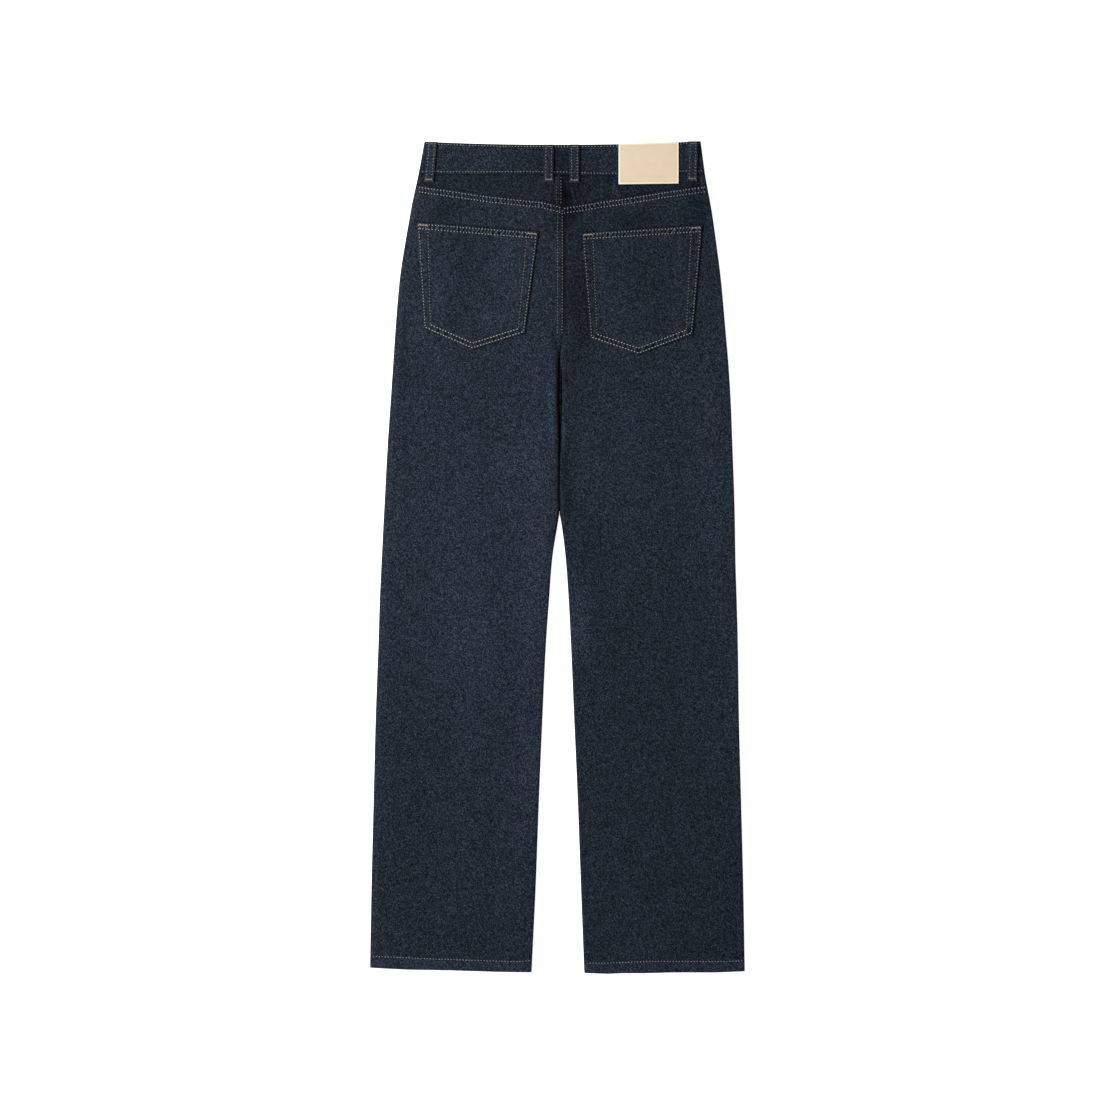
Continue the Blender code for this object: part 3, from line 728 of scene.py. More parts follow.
def build_yarn():
    """Flecks a little larger than a yarn, their two dyes, and short streaks along the warp."""
    group, given, out = new_group(
        "uneven yarn",
        [("Vector", VECTOR, None), ("Fleck size", FLOAT, FLECK_SIZE),
         ("Sparseness", FLOAT, FLECK_SPARSENESS), ("Streak width", FLOAT, STREAK_WIDTH),
         ("Streak length", FLOAT, STREAK_LENGTH)],
        [("Fleck", FLOAT), ("Dye", FLOAT), ("Streak", FLOAT)])
    slanted = turned(group, given["Vector"], FLECK_LEAN, FLECK_STRETCH)
    flecks = node(group, "TexVoronoi", {
        "Vector": slanted,
        "Scale": maths(group, "DIVIDE", 1.0, given["Fleck size"])},
        voronoi_dimensions="2D", feature="F1")
    apart = node(group, "SeparateColor", {"Color": flecks.outputs["Color"]}).outputs
    feed(group, out["Fleck"], maths(group, "POWER", apart["Red"], given["Sparseness"]))
    feed(group, out["Dye"], apart["Green"])
    stretch = node(group, "CombineXYZ", {
        "X": maths(group, "DIVIDE", 1.0, given["Streak width"]),
        "Y": maths(group, "DIVIDE", 1.0, given["Streak length"])})
    drawn = node(group, "VectorMath", operation="MULTIPLY")
    feed(group, drawn.inputs[0], turned(group, given["Vector"], STREAK_LEAN))
    feed(group, drawn.inputs[1], stretch.outputs[0])
    streak = node(group, "TexNoise",
                  {"Vector": drawn.outputs[0], "Scale": 1.0, "Detail": 2.0, "Roughness": 0.6},
                  noise_dimensions="2D")
    feed(group, out["Streak"], streak.outputs["Fac"])
    return group


yarn_group = build_yarn()
print(yarn_group.name, "has", len(yarn_group.nodes), "nodes")

# %% Clouded dye
CLOUD_SIZE, CLOUD_STRETCH = 0.03, (1.0, 0.7, 1.0)


def build_clouds():
    """Broad patches where the dye took more or less."""
    group, given, out = new_group(
        "clouded dye", [("Vector", VECTOR, None), ("Patch size", FLOAT, CLOUD_SIZE)], [("Cloud", FLOAT)])
    stretch = node(group, "Mapping",
                   {"Vector": given["Vector"], "Scale": CLOUD_STRETCH})
    broad = node(group, "TexNoise", {
        "Vector": stretch.outputs[0], "Detail": 4.0, "Roughness": 0.62,
        "Scale": maths(group, "DIVIDE", 1.0, given["Patch size"])})
    feed(group, out["Cloud"], broad.outputs["Fac"])
    return group


clouds_group = build_clouds()
print(clouds_group.name, "has", len(clouds_group.nodes), "nodes")

# %% Rubbed edges and a painted highlight
GRAIN_SHARE, EVEN_SHARE = 1.4, 0.3  # how much of the rubbing the grain breaks up


def build_wear_and_highlight():
    """Where folds, seams and edges are rubbed, with the loops' painted highlight: the painted wear, broken
    up by the grain.
    """
    group, given, out = new_group(
        "rubbed edges", [("Wear", FLOAT, 0.0), ("Grain", FLOAT, 0.5)], [("Mask", FLOAT)])
    broken = maths(group, "MULTIPLY_ADD", given["Grain"], GRAIN_SHARE, EVEN_SHARE)
    feed(group, out["Mask"],
         maths(group, "MULTIPLY", given["Wear"], broken, clamp=True))
    return group


wear_and_highlight_group = build_wear_and_highlight()
print("node groups:", [g.name for g in bpy.data.node_groups])

# %% [markdown]
# ## Materials
#
# The denim's face is a dark, slightly blue grey with pale dots and flecks, nearly without gloss
# and paler where seams are rubbed. A material of its own for each faded stretch would show its
# edges, so two numbers are painted on the cloth. The first says how worn it is, and at the loops'
# lower ends it also holds a painted highlight. The second says how light this stretch is: it holds
# fading, and painted light and shade too, such as shadows beside seams, edges, loops and the patch,
# the dark crease, and the lit and shaded sides of folds and puckers. The back of the cloth shows
# more of the weft. Most thread is a pale warm
# grey with a trace of sheen, bar tacks and a few dim rows are sewn in a browner one, and the
# patch in cream. The patch is thick pale leather with a pressed grain and a lighter, raw edge,
# and the button is aged copper.

# %% Helpers for materials
CLOTH_MAP, WEAR_AND_HIGHLIGHT, LIGHT_AND_FADE = "cloth", "wear", "light_and_fade"  # the map and the numbers stored on cloth


def new_material(name, roughness, metallic=0.0, sheen=0.0):
    """A material with its tree and shader, the shader's plain numbers set."""
    material = bpy.data.materials.new(name)
    material.use_nodes = True
    shader = material.node_tree.nodes["Principled BSDF"]
    shader.inputs["Roughness"].default_value = roughness
    shader.inputs["Metallic"].default_value = metallic
    shader.inputs["Sheen Weight"].default_value = sheen
    return material, material.node_tree, shader


def cloth_map(tree):
    return node(tree, "UVMap", uv_map=CLOTH_MAP).outputs[0]


def painted(tree, name):
    return node(tree, "Attribute", attribute_name=name).outputs["Fac"]


def dye(tree, shader, colour):
    feed(tree, shader.inputs["Base Color"], colour)


def emboss(tree, shader, height, strength, distance):
    """Fine relief: a Bump node that reads a height and feeds the shader's normal."""
    raised = node(tree, "Bump", {"Strength": strength, "Distance": distance, "Height": height})
    feed(tree, shader.inputs["Normal"], raised.outputs[0])


# %% Denim
DENIM_ROUGHNESS, DENIM_GLOSS = 0.9, 0.03
CLOUDS, STREAKS = 0.5, 1.15  # how far they change the lightness
DYE_CLOUDS = 1.6  # how far the clouds decide which dye a fleck takes
FLECK_RELIEF = 1.5


def denim(name, deep, dyes, weft, worn):
    """A denim: its warp goes from deep to one of two pale dyes, and weft is its dots' colour."""
    material, tree, shader = new_material(name, DENIM_ROUGHNESS)
    shader.inputs["Specular IOR Level"].default_value = DENIM_GLOSS
    place = cloth_map(tree)
    twill = place_group(tree, twill_group, {"Vector": place})
    yarn = place_group(tree, yarn_group, {"Vector": place})
    cloud = place_group(tree, clouds_group, {"Vector": place})["Cloud"]
    chance = maths(tree, "SUBTRACT", yarn["Dye"], DYE_CLOUDS / 2)
    pale = mix_colours(tree, maths(tree, "MULTIPLY_ADD", cloud, DYE_CLOUDS, chance, clamp=True), *dyes)
    warp = mix_colours(tree, yarn["Fleck"], deep, pale)
    dots = maths(tree, "MULTIPLY", twill["Weft"], yarn["Fleck"])
    cloth = mix_colours(tree, dots, warp, weft)
    cloudy = maths(tree, "MULTIPLY_ADD", cloud, CLOUDS, 1 - CLOUDS / 2)
    streaky = maths(tree, "MULTIPLY_ADD", yarn["Streak"], STREAKS, 1 - STREAKS / 2)
    # the dye's clouds and streaks, times the painted light, shade and fading stored on the cloth
    shade = maths(tree, "MULTIPLY", maths(tree, "MULTIPLY", cloudy, streaky), painted(tree, LIGHT_AND_FADE))
    face = node(tree, "VectorMath", operation="SCALE")
    feed(tree, face.inputs[0], cloth)
    feed(tree, face.inputs["Scale"], shade)
    # the rubbed mask also carries the painted highlight at the loops' lower ends
    rubbed = place_group(tree, wear_and_highlight_group, {"Wear": painted(tree, WEAR_AND_HIGHLIGHT), "Grain": yarn["Fleck"]})
    dye(tree, shader, mix_colours(tree, rubbed["Mask"], face.outputs[0], worn))
    relief = maths(tree, "MULTIPLY_ADD", yarn["Fleck"], FLECK_RELIEF, twill["Relief"])
    emboss(tree, shader, relief, 0.5, 0.00025)
    return material


denim_face = denim(
    "denim face", deep=(0.0068, 0.0100, 0.0164), weft=(0.10, 0.125, 0.155), worn=(0.085, 0.10, 0.13),
    dyes=[(0.0350, 0.0603, 0.0778), (0.0488, 0.0506, 0.0848)])
denim_back = denim(
    "denim back", deep=(0.020, 0.026, 0.036), weft=(0.30, 0.31, 0.32), worn=(0.2, 0.2, 0.2),
    dyes=[(0.11, 0.13, 0.15), (0.13, 0.13, 0.15)])
print("denim face has", len(denim_face.node_tree.nodes), "nodes")

# %% Thread
THREAD_ROUGHNESS, THREAD_SHEEN = 0.6, 0.1
SPUN_SCALE, TWIST_SCALE = 260.0, 2600.0


def make_thread(name, shade, colour):
    """Thread of one colour, with darker shade where the yarn was spun thinner."""
    material, tree, shader = new_material(name, THREAD_ROUGHNESS, sheen=THREAD_SHEEN)
    place = node(tree, "TexCoord").outputs["Object"]
    spun = node(tree, "TexNoise", {"Vector": place, "Scale": SPUN_SCALE, "Detail": 2.0})
    dye(tree, shader, mix_colours(tree, spun.outputs["Fac"], shade, colour))
    twist = node(tree, "TexNoise", {"Vector": place, "Scale": TWIST_SCALE, "Detail": 1.0})
    emboss(tree, shader, twist.outputs["Fac"], 0.3, 0.0002)
    return material


thread = make_thread("grey thread", (0.30, 0.29, 0.275), (0.62, 0.585, 0.555))
tack_thread = make_thread("beige thread", (0.24, 0.18, 0.145), (0.42, 0.32, 0.265))
patch_thread = make_thread("cream thread", (0.62, 0.48, 0.33), (0.82, 0.66, 0.47))
print("threads:", thread.name, tack_thread.name, patch_thread.name)

# %% Leather
LEATHER_ROUGHNESS = 0.6
HIDE_DARK, HIDE_LIGHT, RAW_EDGE = (0.78, 0.62, 0.44), (0.90, 0.74, 0.52), (0.98, 0.93, 0.80)
PORE_SCALE, HIDE_CLOUD = 900.0, 0.018


def make_leather():
    material, tree, shader = new_material("pale leather", LEATHER_ROUGHNESS)
    place = cloth_map(tree)
    pores = node(tree, "TexVoronoi", {"Vector": place, "Scale": PORE_SCALE})
    clouds = place_group(tree, clouds_group, {"Vector": place, "Patch size": HIDE_CLOUD})
    hide = mix_colours(tree, clouds["Cloud"], HIDE_DARK, HIDE_LIGHT)
    rubbed = place_group(tree, wear_and_highlight_group, {"Wear": painted(tree, WEAR_AND_HIGHLIGHT), "Grain": 0.5})
    dye(tree, shader, mix_colours(tree, rubbed["Mask"], hide, RAW_EDGE))
    emboss(tree, shader, pores.outputs["Distance"], 0.25, 0.0004)
    return material


leather = make_leather()
print(leather.name, "has", len(leather.node_tree.nodes), "nodes")

# %% Metal
COPPER_ROUGHNESS, STAIN_ROUGHNESS = 0.15, 0.4  # the least, and what a full stain adds
COPPER_DARK, COPPER_LIGHT = (0.16, 0.10, 0.06), (0.52, 0.34, 0.20)
STAIN_SCALE = 320.0


def make_metal():
    material, tree, shader = new_material("aged copper", COPPER_ROUGHNESS, metallic=1.0)
    place = node(tree, "TexCoord").outputs["Object"]
    stain = node(tree, "TexNoise", {"Vector": place, "Scale": STAIN_SCALE, "Detail": 4.0})
    dye(tree, shader, mix_colours(tree, stain.outputs["Fac"], COPPER_DARK, COPPER_LIGHT))
    feed(tree, shader.inputs["Roughness"],
         maths(tree, "MULTIPLY_ADD", stain.outputs["Fac"], STAIN_ROUGHNESS, COPPER_ROUGHNESS))
    return material


copper = make_metal()
print("materials:", [m.name for m in bpy.data.materials])

# %% [markdown]
# ## Laying a sheet of cloth
#
# Cloth could be draped by a solver or cut out of a plane, but then no row of faces would follow
# a seam. So a sheet starts as a flat grid with stations across and along the piece. Strips that
# carry a seam or a hem are subdivided once more, because puckers need small faces. Then every
# point is put where the form says, the flat map that the weave reads is stored, and Solidify
# grows the wall inward.

# %% A flat grid
def select_only(piece):
    bpy.ops.object.select_all(action="DESELECT")
    piece.select_set(True)
    bpy.context.view_layer.objects.active = piece


def spots_of(mesh):
    """The places of a mesh's points, a row for each."""
    spots = np.empty(len(mesh.vertices) * 3)
    mesh.vertices.foreach_get("co", spots)
    return spots.reshape(-1, 3)


def flat_grid(name, stations, rows, fine_strips):
    """A flat grid with a column at each station and a row at each row's value."""
    bpy.ops.object.select_all(action="DESELECT")
    bpy.ops.mesh.primitive_grid_add(
        x_subdivisions=len(stations) - 1, y_subdivisions=len(rows) - 1, size=1)
    piece = bpy.context.active_object
    piece.name = piece.data.name = name
    spots = spots_of(piece.data)
    column = np.rint((spots[:, 0] + 0.5) * (len(stations) - 1)).astype(int)
    row = np.rint((spots[:, 1] + 0.5) * (len(rows) - 1)).astype(int)
    spots[:, 0] = np.array(stations)[column]
    spots[:, 1] = np.array(rows)[row]
    piece.data.vertices.foreach_set("co", spots.ravel())
    if fine_strips:
        subdivide_strips(piece, fine_strips)
    return piece


def subdivide_strips(piece, strips):
    """Split the faces between each strip's two row values."""
    bpy.ops.object.mode_set(mode="EDIT")
    bpy.ops.mesh.select_mode(type="FACE")
    bpy.ops.mesh.select_all(action="DESELECT")
    bpy.ops.object.mode_set(mode="OBJECT")
    for face in piece.data.polygons:
        face.select = any(low < face.center.y < high for low, high in strips)
    bpy.ops.object.mode_set(mode="EDIT")
    bpy.ops.mesh.subdivide(number_cuts=1)
    bpy.ops.object.mode_set(mode="OBJECT")


# %% Lay a piece of cloth
SMOOTH_ANGLE = math.radians(42)  # sharper edges than this stay sharp


def lay_cloth(name, stations, rows, place, wall, material=None, fine_strips=(), thicken=None,
              wear=None, light_and_fade=None, rim_bevel=0.0):
    """A piece of cloth. place gives x, y, height and the flat map's u, v at each point."""
    piece = flat_grid(name, stations, rows, fine_strips)
    mesh = piece.data
    across, along, _flat = spots_of(mesh).T.copy()
    x, y, z, u, v = place(across, along)
    mesh.vertices.foreach_set("co", (np.stack([x, y, z], 1) * MM).ravel())
    store_map(mesh, u * MM, v * MM)
    for label, amount, plain in ((WEAR_AND_HIGHLIGHT, wear, 0.0), (LIGHT_AND_FADE, light_and_fade, 1.0)):
        layer = mesh.attributes.new(label, "FLOAT", "POINT")
        layer.data.foreach_set("value", amount(x, y) if amount else np.full(len(x), plain))
    walls = thicken(x, y) if thicken else np.full(len(x), wall)
    group = piece.vertex_groups.new(name="wall")
    for index, share in enumerate(walls / walls.max()):
        group.add([index], float(share), "REPLACE")
    grow_wall(piece, float(walls.max()), group.name)
    for finish in material or (denim_face, denim_back):
        mesh.materials.append(finish)
    if rim_bevel:
        round_rim(piece, rim_bevel)
    select_only(piece)
    bpy.ops.object.shade_smooth_by_angle(angle=SMOOTH_ANGLE)
    print(f"{name}: {len(mesh.polygons)} faces")
    return piece


# %% The flat map, the wall and the rim
RIM_SEGMENTS, RIM_ANGLE = 2, math.radians(50)


def store_map(mesh, u, v):
    """The piece laid out flat, as the cloth was cut."""
    layer = mesh.uv_layers[0]
    layer.name = CLOTH_MAP
    corners = np.empty(len(mesh.loops), dtype=int)
    mesh.loops.foreach_get("vertex_index", corners)
    layer.data.foreach_set("uv", np.stack([u[corners], v[corners]], 1).ravel())


def grow_wall(piece, wall, group_name):
    """Solidify grows the wall inward, thinner where the group says so."""
    solidify = piece.modifiers.new("wall", "SOLIDIFY")
    solidify.thickness = wall * MM
    solidify.offset = -1
    solidify.use_even_offset = True
    solidify.vertex_group = group_name
    solidify.material_offset = 1
    select_only(piece)
    bpy.ops.object.modifier_apply(modifier=solidify.name)
    piece.vertex_groups.clear()


def round_rim(piece, width):
    """Cut cloth has no knife edges: bevel the rim."""
    bevel = piece.modifiers.new("rim", "BEVEL")
    bevel.width = width * MM
    bevel.segments = RIM_SEGMENTS
    bevel.limit_method = "ANGLE"
    bevel.angle_limit = RIM_ANGLE
    bevel.harden_normals = False
    select_only(piece)
    bpy.ops.object.modifier_apply(modifier=bevel.name)


# %% [markdown]
# ## The panels
#
# A leg could be one bent tube, but a real one is a front and a back panel that are sewn together
# at the outseam and the inseam, so each is a sheet of its own. Seen in section each panel turns
# down (or up) in a quarter round at its edges and runs nearly flat between them. Stations 0 to 1
# go round the outer turn, 1 to 2 over the panel and 2 to 3 round the inner turn. Beside the
# crotch the inner turns stand high and press together, which makes the deep crease.

# %% Section of a panel
LEG_LEAN = {"left": 0.046, "right": -0.035}  # how far the grain leans with the leg
SETTLE_ROUNDS = 6  # x depends on y and y on x, so they are found in turns
QUARTER = math.pi / 2
HEM_STATION, BACK_TOP_STATION, FRONT_TOP_STATION = -538, 470, 498
BEND_REACH = 170  # how far from hem and seam the rows bend
CENTRE_SHARE = 0.24  # the part beside the centre with closer columns


def quarter(turn, roll):
    """How far in and how far down an edge's turn is: a quarter round where roll is 1."""
    return blend(turn, 1 - np.cos(turn * QUARTER), roll), roll * (1 - np.sin(turn * QUARTER))


def section(side, layer, across, y, outer=None, roll_outer=1.0):
    """x, height and unrolled x of a panel's outer side at stations across it."""
    outer = edge_x(side, "outer", y) if outer is None else outer
    inner = edge_x(side, "inner", y)
    inward = np.sign(inner - outer)
    inner = inner + inward * SEAM_CLOSE
    if layer == "back":
        inner = inner - inward * crease_gap(side, y)
    seam_out = height_at("outer_edge", y) / 2
    seam_in = height_at("inner_edge", y) / 2
    roll_in = np.clip(height_at("roll", y), 0, 1)
    first, last = outer + inward * seam_out, inner - inward * seam_in
    turn_out, turn_in = np.clip(across, 0, 1), np.clip(3 - across, 0, 1)
    (round_out, drop_out), (round_in, drop_in) = quarter(turn_out, roll_outer), quarter(turn_in, roll_in)
    level = blend(first, last, np.clip(across - 1, 0, 1))
    arc_out, arc_in = outer + inward * seam_out * round_out, inner - inward * seam_in * round_in
    x = np.where(across < 1, arc_out, np.where(across > 2, arc_in, level))
    down = drop_out * (across < 1) + drop_in * (across > 2)
    seam = np.where(across < 1.5, seam_out, seam_in)
    if layer == "back":
        flat, seam = back_surface(side, x, y), seam + LEG_SEAM_GAP / 2
    else:
        flat, seam = front_surface(side, x, y), seam - LEG_SEAM_GAP / 2
    unrolled = level - inward * (1 - turn_out) * seam_out * QUARTER * (across < 1)
    unrolled = unrolled + inward * (1 - turn_in) * seam_in * QUARTER * (across > 2)
    return x, blend(flat, seam, down), unrolled


def row_y(station, x, top_line, top_station):
    """y of a grid row at x: rows bend to follow the hem below and the seam above."""
    near_hem = fading(station, HEM_STATION, BEND_REACH)
    near_top = rising(station, top_station - BEND_REACH, BEND_REACH)
    return (station + near_hem * (on_line(HEM_EDGE, x) - HEM_STATION)
            + near_top * (top_line(x) - top_station))


def grid_columns(side, steps, centre_steps, turn_steps=6):
    """Stations across a panel: both turns and, between them, closer columns beside the centre."""
    turn = [step / turn_steps for step in range(turn_steps)]
    over = [1 + (1 - CENTRE_SHARE) * step / steps for step in range(steps)]
    over += [2 - CENTRE_SHARE * (1 - step / centre_steps) for step in range(centre_steps + 1)]
    columns = turn + over + [3 - station for station in reversed(turn)]
    return columns if side == "left" else columns[::-1]


def evenly(start, end, pitch):
    """Values from start to end, about one pitch apart, without the end."""
    count = max(1, round((end - start) / pitch))
    return [blend(start, end, step / count) for step in range(count)]


print("stations across a back panel:", len(grid_columns("left", 70, 36)))

# %% Painted light and shade, and fading, of the cloth
LIGHT_AND_FADE_PATCHES = [
    # x, y, reach x, reach y, change
    (13, 476, 12, 36, -0.56),  # painted shade where the seat falls away right of the centre seam
    (26, 345, 18, 95, -0.42),
    (8, 447, 20, 22, -0.34),
    (-4, 521, 34, 22, -0.36),  # painted shade between the middle loops
    (-180, 515, 20, 36, -0.2),
    (188, 457, 15, 26, -0.3),
    (-145, 452, 22, 16, -0.34),  # painted shade above the pockets
    (95, 441, 50, 12, -0.32),
    (-62, 380, 20, 44, 0.26),  # painted light and shade across the pockets
    (-120, 385, 26, 50, -0.12),
    (66, 350, 16, 60, 0.13),
    (115, 370, 20, 50, -0.12),
    (-78, 310, 22, 12, 0.24),
    (115, 281, 34, 12, 0.2),
    (-8.0, 205, 4.0, 55, 0.5),  # painted light on the flanks of the crease, and painted shade in a groove beside it
    (7.8, 158, 2.6, 14, 0.65),
    (8, 118, 5, 26, -0.45),
    (14, 70, 8, 20, -0.25),
    (-62, 122, 30, 16, 0.2),  # lighter thighs and knees: partly fading, partly painted light on swells of the cloth
    (-125, 45, 50, 85, 0.1),
    (-38, -70, 22, 210, 0.25),
    (-24, 110, 14, 140, 0.12),
    (-36, -290, 24, 80, 0.2),
    (-75, -320, 34, 110, 0.08),
    (-122, -105, 48, 80, 0.15),
    (100, 110, 60, 110, 0.13),
    (208, 80, 36, 190, 0.26),
    (200, -218, 26, 50, 0.15),
    # the rest: painted shade beside a pocket, the centre seam and grooves of the legs, and broad stretches,
    # lighter and darker
    (42, 8, 14, 42, -0.18),
    (76, -108, 24, 40, -0.16),
    (30, -90, 16, 44, 0.4),
    (-190, -260, 36, 150, -0.12),
    (41, 310, 6, 62, -0.25),
    (1, 449, 6, 34, -0.28),
    (18, 452, 10, 10, -0.3),
    (11, 60, 6, 100, -0.15),
    (14, 236, 9, 18, -0.24),
    (-200, 235, 10, 117, -0.15),
    (180, 202, 31, 117, 0.1),
    (224, -177, 18, 117, 0.16),
    (-18, -21, 18, 117, 0.14),
    (-111, -129, 31, 117, 0.09),
    (-68, 123, 18, 65, 0.11),
    (-31, 301, 31, 100, 0.08),
    (-45, -484, 31, 110, 0.09),
    (105, -504, 31, 34, 0.14),
    (207, -404, 31, 117, 0.07),
    (-220, -419, 18, 65, -0.1),
    (-155, 336, 6, 34, 0.32),
    (157, 369, 6, 65, 0.2),
    (192, 344, 6, 65, 0.18),
    (170, 452, 7, 60, -0.12),
]
LIGHT_AND_SHADE_STREAKS = [
    # from x, from y, to x, to y, width, change: the lit and shaded sides of sharp pulls
    (9, 490, 10, 458, 2.2, -0.55),
    (15, 494, 24.5, 454, 1.3, 1.7),
    (15, 486, 17, 462, 1.8, -0.5),
    (27, 492, 32, 460, 3.2, -0.35),
    (35, 489, 38, 475, 1.6, 0.7),
    (59, 479, 67, 464, 2.6, -0.3),
    (70, 492, 80, 464, 1.7, 1.0),
    (52, 490, 61, 468, 2.0, 0.4),
    (35, 453, 36, 432, 2.2, 0.3),
]


def light_and_fade(x, y):
    """How light the cloth is: 1, changed by soft patches and streaks of painted light and shade, and by
    fading.
    """
    level = np.ones_like(x)
    for middle_x, middle_y, reach_x, reach_y, change in LIGHT_AND_FADE_PATCHES:
        level *= 1 + change * bell((x - middle_x) / reach_x, 1) * bell((y - middle_y) / reach_y, 1)
    return level * (1 + folds(x, y, LIGHT_AND_SHADE_STREAKS))


def crease_shade(x, y, share):
    """Painted shade toward the crease between the thighs."""
    off = (x - along_table(HOLLOW, "middle", y)) / along_table(HOLLOW, "width", y)
    return 1 - share * along_table(HOLLOW, "depth", y) * bell(off, 1)


print("tone:", len(LIGHT_AND_FADE_PATCHES), "patches and", len(LIGHT_AND_SHADE_STREAKS), "streaks")

# %% Shade beside seams and edges
SHADED = 1.2  # half the width of the dark line beside a seam or an edge
OVER_YOKE_SEAM, UNDER_WAIST_SEAM, UNDER_PATCH = 0.32, 0.25, 0.5  # how dark each line is
OVER_POCKET, ROUND_POCKET, RIGHT_OF_POCKET = 0.50, 0.20, 0.45
IN_YOKE_SEAM = 0.6
CENTRE_SHADES = [(1, 1.4, 0.4), (3, 3, 0.15)]  # off the centre seam, width, how dark
HEM_TONE = 0.24  # the doubled hem catches more light
PUCKER_SHADE = 1.05  # how strongly puckers show as shade
DARKEST, BRIGHTEST = 0.95, 1.5


def shade_line(distance, dark):
    """A painted shadow line where the distance is 0."""
    return 1 - dark * bell(distance, SHADED)


def pucker_light_and_shade(waves):
    """Painted light on puckers' ridges and painted shade in their troughs, within limits."""
    return 1 + np.clip(waves, -DARKEST, BRIGHTEST)


def pocket_shade(side, x, y):
    """The lines that a pocket's edges draw on the leg, darkest away from the light."""
    top, sewn = pocket_insets(side, x, y)
    right = inset(side, "low_right", "top_right", x, y)
    beside = (top > 0) * (sewn > -5)
    return (shade_line(top + 1, OVER_POCKET * (sewn > 0)) * shade_line(sewn + 1, ROUND_POCKET * (top > 0))
            * shade_line(right + 1.1, RIGHT_OF_POCKET * beside))


def centre_shade(x, y):
    """The right leg lies lower than the felled centre seam, in its shade."""
    off = x - edge_x("right", "inner", y)
    below_yoke = rising(455 - y, 0, 6) * rising(y, 290, 20)
    shades = sum(dark * bell(off - middle, width) for middle, width, dark in CENTRE_SHADES)
    return (1 - shades * below_yoke) * (1 - IN_YOKE_SEAM * bell(off, 1.0) * rising(y, 457, 4))


def panel_light_and_shade(side, x, y):
    """How light a back panel or yoke is: painted shadows beside thicker edges, painted light and shade on
    puckers, crease and hem.
    """
    below_yoke_seam = on_line(YOKE_SEAM, x) - y
    puckered = yoke_pull(x) * seam_puckers(below_yoke_seam, x, YOKE_SEED)
    under_patch = ease(x - PATCH_LEFT + 1) * ease(PATCH_RIGHT + 2 - x)
    level = light_and_fade(x, y) * crease_shade(x, y, 1) * pucker_light_and_shade(PUCKER_SHADE * puckered)
    level *= shade_line(-below_yoke_seam - 1.2, OVER_YOKE_SEAM)
    level *= shade_line(waist_seam(x) - y - 1, UNDER_WAIST_SEAM)
    level *= shade_line(patch_edges(x)[0] - y - 1, UNDER_PATCH * under_patch)
    level *= pocket_shade(side, x, y) * centre_shade(x, y)
    return level * (1 + HEM_TONE * fading(above_hem(x, y), HEM_HEIGHT, 2))


# %% Wear and wall of a panel
DENIM, HEM_WALL = 1.6, 2.3
CROTCH_WALL = 1.1  # the most that the wall grows beside the crotch
WORN = {
    # thin lines (bell) and soft strips (hump): how worn, how far in, width
    "outseam": [(bell, 0.16, OUTSEAM_INSET, 1.6), (bell, 0.10, 1.5, 2.0)],
    "centre seam": [(hump, 0.10, 4.5, 4.5)],
    "yoke seam": [(bell, 0.15, 0.3, 0.7), (hump, 0.10, 4.6, 4.2)],
    "hem": [(bell, 0.2, 0, 1.3), (hump, 0.08, 7, 7)],
    "waist edge": [(bell, 0.1, 3, 1.4)],
    "waist seam": [(bell, 0.08, 1.4, 1.4)],
    "pocket top": [(bell, 0.25, 0, 1.0), (hump, 0.08, 4.4, 4)],
    "pocket edge": [(bell, 0.2, 0, 1.0), (hump, 0.06, 5, 4)],
}


def worn(edge, distance):
    """How rubbed the cloth is at a distance in from an edge."""
    return sum(wear * form(distance - inset, width) for form, wear, inset, width in WORN[edge])


def panel_wear(side, x, y):
    """Seams, folds and edges are rubbed paler."""
    centre = (side == "left") * worn("centre seam", from_edge(side, "inner", x, y))
    return (worn("outseam", from_edge(side, "outer", x, y)) + worn("yoke seam", on_line(YOKE_SEAM, x) - y)
            + worn("hem", above_hem(x, y)) + centre * rising(y, 300, 30))


def panel_wall(layer, side, x, y):
    """Thickness of a panel: one layer, and more at the crotch, the hem and the seams' laps."""
    near = fading(from_edge(side, "inner", x, y), 0, INNER_REACH)
    rise = height_at("inner_edge", y) - height_at("over_panel", y)
    crotch = np.clip(rise / 2, 0, CROTCH_WALL) * near
    doubled = (HEM_WALL - DENIM) * fading(above_hem(x, y), HEM_HEIGHT, HEM_FALL)
    lapped = np.maximum(centre_lap(side, x, y), yoke_lap(x, y)) if layer == "back" else 0
    return DENIM + np.maximum(np.maximum(crotch, doubled), lapped)


print("wall:", DENIM, "mm, at the hem", HEM_WALL, "mm")

# %% Back panels
LAP_STRIP = (457.5, 471)
HEM_STRIP = (-538.5, -522)
BACK_ROWS = [
    # from station, to station, pitch: closest at the seams and the pockets' tops
    (HEM_STATION, -521, 1.7), (-521, 60, 4.2), (60, 330, 2.4), (330, 414, 3.0), (414, 441, 1.4),
    (441, 457, 2.4), (457, BACK_TOP_STATION, 1.45),
]


def back_panel(side):
    def seam(x):
        return on_line(YOKE_SEAM, x) - SEAM_GAP / 2

    def place(across, station):
        y = station.copy()
        for _ in range(SETTLE_ROUNDS):
            x, _height, _unrolled = section(side, "back", across, y)
            y = row_y(station, x, seam, BACK_TOP_STATION)
        x, height, unrolled = section(side, "back", across, y)
        return x, y, height, unrolled - LEG_LEAN[side] * y, y

    rows = [station for stretch in BACK_ROWS for station in evenly(*stretch)] + [BACK_TOP_STATION]
    return lay_cloth(f"back_panel_{side}_cloth", grid_columns(side, 70, 36), rows, place, DENIM,
                     fine_strips=[LAP_STRIP, HEM_STRIP], thicken=partial(panel_wall, "back", side),
                     wear=partial(panel_wear, side), light_and_fade=partial(panel_light_and_shade, side))


SIDES = ("left", "right")
back_panels = {side: back_panel(side) for side in SIDES}

